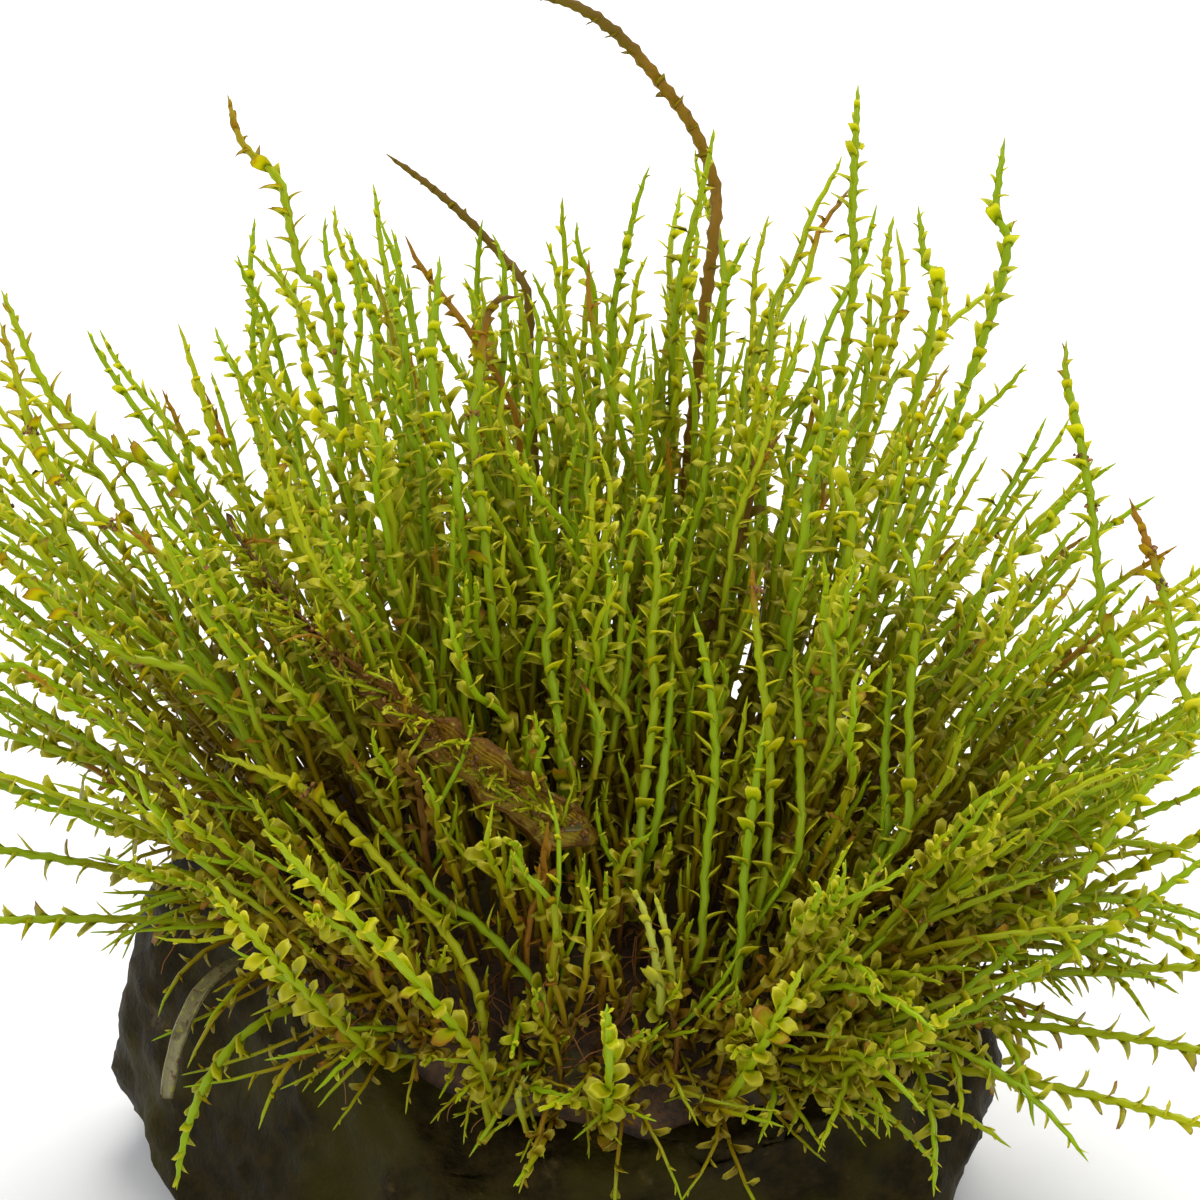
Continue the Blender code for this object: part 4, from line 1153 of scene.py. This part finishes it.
def finer_copy(name, cuts):
    """A merged copy of a node's mesh, each edge cut, as a bmesh."""
    bm = bmesh.new()
    bm.from_mesh(nodes[name].data)
    bmesh.ops.remove_doubles(bm, verts=bm.verts[:], dist=0.002 * MM)
    bmesh.ops.subdivide_edges(bm, edges=bm.edges[:], cuts=cuts, use_grid_fill=True, smooth=0.6)
    return bm


bm = finer_copy("stone", 4)
mesh = bpy.data.meshes.new("mossy_stone")
bm.to_mesh(mesh)
bm.free()
places = np.empty(3 * len(mesh.vertices), np.float32)
mesh.vertices.foreach_get("co", places)
places = places.reshape(-1, 3).astype(float)
normals = np.empty(3 * len(mesh.vertices), np.float32)
mesh.vertices.foreach_get("normal", normals)
lift = sum(height * lattice_bumps(places, size, seed) for height, size, seed in (
    (0.26 * MM, 1.6 * MM, 1), (0.15 * MM, 0.7 * MM, 2), (0.07 * MM, 0.32 * MM, 3), (0.03 * MM, 0.16 * MM, 4)))
settled = smooth(0.05 * MM, 0.7 * MM, places[:, 2])
places += normals.reshape(-1, 3) * (lift * settled)[:, None]
places[:, 2] = np.maximum(places[:, 2], 0.0)
mesh.vertices.foreach_set("co", places.astype(np.float32).ravel())
mesh.update()
mesh.shade_smooth()
hand_over("mossy_stone", mesh, stone_material(), ["stone"])
print("stone:", triangle_count["mossy_stone"], "triangles")

# %% [markdown]
# ## The rhizoid mat
# Under the shoots lies a brown felt of rhizoids, dead stems and soil. It is a closed cushion
# on the dome: one grid for its upper face with bumps, one for its underside, joined at
# the rim. Thin threads curl out of it.

# %% Mat material and mesh
def mat_material():
    """Brown felt: dark soil between rusty threads."""
    kit = Kit("rhizoid_felt")
    streak = kit.noise(0.25 * MM, 6.0, 0.75)
    colour = kit.mix(kit.ramp(streak, 0.35, 0.65), (0.014, 0.007, 0.002), (0.085, 0.036, 0.006))
    colour = kit.mix(kit.ramp(kit.noise(1.2 * MM), 0.5, 0.7) * 0.6, colour, (0.090, 0.085, 0.010))
    colour = kit.mix(kit.ramp(kit.paint()[0], 0.4, 0.6), colour, (0.230, 0.085, 0.012))
    normal = kit.bump(streak, 0.8, 0.08 * MM)
    skin = kit.node("ShaderNodeBsdfPrincipled", None, {
        "Base Color": colour, "Roughness": 0.75, "Normal": normal})
    return kit.finish(skin)


def add_mat(heap, rings=28, turns=120):
    """Upper and lower disc over the oval; a point is (radius, azimuth), height by the dome."""
    share = np.linspace(0.0, 1.0, rings + 1)[1:]
    azimuth = np.linspace(0.0, 360.0, turns, endpoint=False)
    radius, bearing = np.meshgrid(MAT_REACH * share, azimuth, indexing="ij")
    x, y = oval_point(radius, bearing)
    ragged = 1.0 + 0.035 * lattice_bumps(np.stack([x, y, 0 * x], -1), 0.9 * MM, 11) * radius ** 4
    x, y = oval_point(radius * ragged, bearing)
    flat = np.stack([x, y, dome(x, y)], -1)
    bumps = 0.22 * MM * lattice_bumps(flat, 0.8 * MM, 12) + 0.12 * MM * lattice_bumps(flat, 0.3 * MM, 13)
    edge = smooth(1.0, 0.9, share)[:, None]
    upper_face = mat_top(x, y, radius) - 0.1 * MM + bumps * edge
    top = np.stack([x, y, np.maximum(upper_face, dome(x, y) + 0.05 * MM)], -1)
    bottom = np.stack([x, y, dome(x, y) - 0.25 * MM], -1)
    points = np.concatenate([top.reshape(-1, 3), bottom.reshape(-1, 3),
                             [[*MOSS_CENTRE, mat_top(*MOSS_CENTRE, 0.0)]],
                             [[*MOSS_CENTRE, dome(*MOSS_CENTRE) - 0.25 * MM]]])
    grid = np.arange(rings * turns).reshape(rings, turns)
    beside = np.roll(grid, -1, axis=1)
    upper = np.stack([grid[:-1], grid[1:], beside[1:], beside[:-1]], -1).reshape(-1, 4)
    lower = np.stack([grid[:-1], beside[:-1], beside[1:], grid[1:]], -1).reshape(-1, 4) + rings * turns
    wall = np.stack([grid[-1], grid[-1] + rings * turns, beside[-1] + rings * turns, beside[-1]], -1)
    hub = 2 * rings * turns
    upper_fan = np.stack([np.full(turns, hub), grid[0], beside[0]], -1)
    lower_fan = np.stack([np.full(turns, hub + 1), beside[0] + rings * turns, grid[0] + rings * turns], -1)
    heap.add(points[None], np.zeros(4), np.concatenate([upper, lower, wall]),
             np.concatenate([upper_fan, lower_fan]))

# %% [markdown]
# ## Threads of the mat
# Rhizoids are rusty threads, finer than a hair. Each is a three-sided tube on a path whose
# heading and lean change a little at random from step to step, so that it curls.

# %% Grow the threads and finish the mat
THREADS = 420


def add_threads(heap, count, rng, points=12):
    """Rhizoid threads: thin three-sided tubes on curling paths that start on the mat."""
    radius, azimuth = rng.uniform(0.2, 1.1, count) ** 0.5, rng.uniform(0.0, 360.0, count)
    x, y = oval_point(radius, azimuth)
    root = np.stack([x, y, dome(x, y) + 0.3 * MM], -1)
    heading = azimuth[:, None] + rng.normal(0.0, 40.0, (count, 1))
    heading = heading + np.cumsum(rng.normal(0.0, 22.0, (count, points)), 1)
    lean = rng.uniform(20.0, 95.0, (count, 1)) + np.cumsum(rng.normal(3.0, 14.0, (count, points)), 1)
    step = rng.uniform(0.8, 2.8, (count, 1, 1)) * MM / points
    path = root[:, None] + np.cumsum(leaning(heading, lean) * step, axis=1)
    forward = unit(np.gradient(path, axis=1))
    out = unit(np.cross(forward, rng.normal(size=(count, 1, 3))))
    side = np.cross(forward, out)
    angle = np.radians([0.0, 120.0, 240.0])
    thin = np.linspace(0.022, 0.010, points)[None, :, None, None] * MM
    round_it = np.cos(angle)[:, None] * out[:, :, None] + np.sin(angle)[:, None] * side[:, :, None]
    ring = path[:, :, None] + thin * round_it
    grid = np.concatenate([ring.reshape(count, -1, 3), path[:, :1], path[:, -1:]], 1)
    heap.add(grid, np.array([1.0, 0.0, 0.0, 0.0]), *stem_faces(points, 3))


heap = Heap()
add_mat(heap)
add_threads(heap, THREADS, np.random.default_rng(600))
hand_over("felted_mat", heap.mesh("felted_mat"), mat_material(), ["rhizoid_mat"])
print("mat:", triangle_count["felted_mat"], "triangles")

# %% [markdown]
# ## The camera, the floor and the light
# The camera looks down at 24 degrees through a long lens, so the clump is drawn almost without
# perspective. The floor is plain and pale. The light is a white room with a large soft lamp
# above and behind, which comes through the leaves towards the camera. Two weaker lamps, at
# the left and at the right front, light the near side.

# %% Camera
CAMERA_DISTANCE = 0.2
FRAME_WIDTH = 20.0 * MM
SENSOR_WIDTH = 36.0

camera_data = bpy.data.cameras.new("camera")
camera_data.sensor_width = SENSOR_WIDTH
camera_data.lens = SENSOR_WIDTH * CAMERA_DISTANCE / FRAME_WIDTH
camera_data.clip_start = 0.01
camera_data.clip_end = 10.0
camera = bpy.data.objects.new("camera", camera_data)
bpy.context.scene.collection.objects.link(camera)
camera.location = (LOOK_AT[0], LOOK_AT[1] - CAMERA_DISTANCE * math.cos(TILT),
                   LOOK_AT[2] + CAMERA_DISTANCE * math.sin(TILT))
camera.rotation_euler = (math.radians(90.0) - TILT, 0.0, 0.0)
bpy.context.scene.camera = camera
bpy.context.scene.view_settings.view_transform = "Standard"

# %% Floor, white room and lamps
def plain_material(name, colour, roughness):
    """An even, matt finish for the floor."""
    kit = Kit(name)
    skin = kit.node("ShaderNodeBsdfPrincipled", None, {"Base Color": (*colour, 1.0), "Roughness": roughness})
    return kit.finish(skin)


FLOOR_HALF = 1.5
floor_mesh = bpy.data.meshes.new("floor")
floor_mesh.from_pydata([(-FLOOR_HALF, -FLOOR_HALF, 0.0), (FLOOR_HALF, -FLOOR_HALF, 0.0),
                        (FLOOR_HALF, FLOOR_HALF, 0.0), (-FLOOR_HALF, FLOOR_HALF, 0.0)], [], [(0, 1, 2, 3)])
floor_mesh.materials.append(plain_material("pale_floor", (0.72, 0.72, 0.72), 0.9))
floor = bpy.data.objects.new("floor", floor_mesh)
bpy.context.scene.collection.objects.link(floor)

world = bpy.data.worlds.new("white_room")
world.use_nodes = True
world.node_tree.nodes["Background"].inputs["Color"].default_value = (0.93, 0.95, 1.0, 1.0)
world.node_tree.nodes["Background"].inputs["Strength"].default_value = 0.8
bpy.context.scene.world = world


def soft_lamp(name, position, size, power, colour=(1.0, 1.0, 1.0)):
    """A square lamp that faces the clump."""
    data = bpy.data.lights.new(name, "AREA")
    data.size, data.energy, data.color = size, power, colour
    lamp = bpy.data.objects.new(name, data)
    bpy.context.scene.collection.objects.link(lamp)
    lamp.location = position
    away = lamp.location.copy()
    away.z -= LOOK_AT[2]
    lamp.rotation_euler = away.to_track_quat("Z", "Y").to_euler()
    return lamp


soft_lamp("lamp_above_behind", (0.03, 0.12, 0.22), 0.16, 0.75, (1.0, 0.98, 0.94))
soft_lamp("lamp_left", (-0.20, -0.06, 0.16), 0.12, 0.20)
soft_lamp("lamp_right_front", (0.14, -0.18, 0.14), 0.10, 0.12)

# %% [markdown]
# ## Triangles
# The number of triangles in all the pieces, and in the largest piece, is printed.

# %% Print the triangle counts
print("triangles in all:", sum(triangle_count.values()), "largest piece:", max(triangle_count.values()))
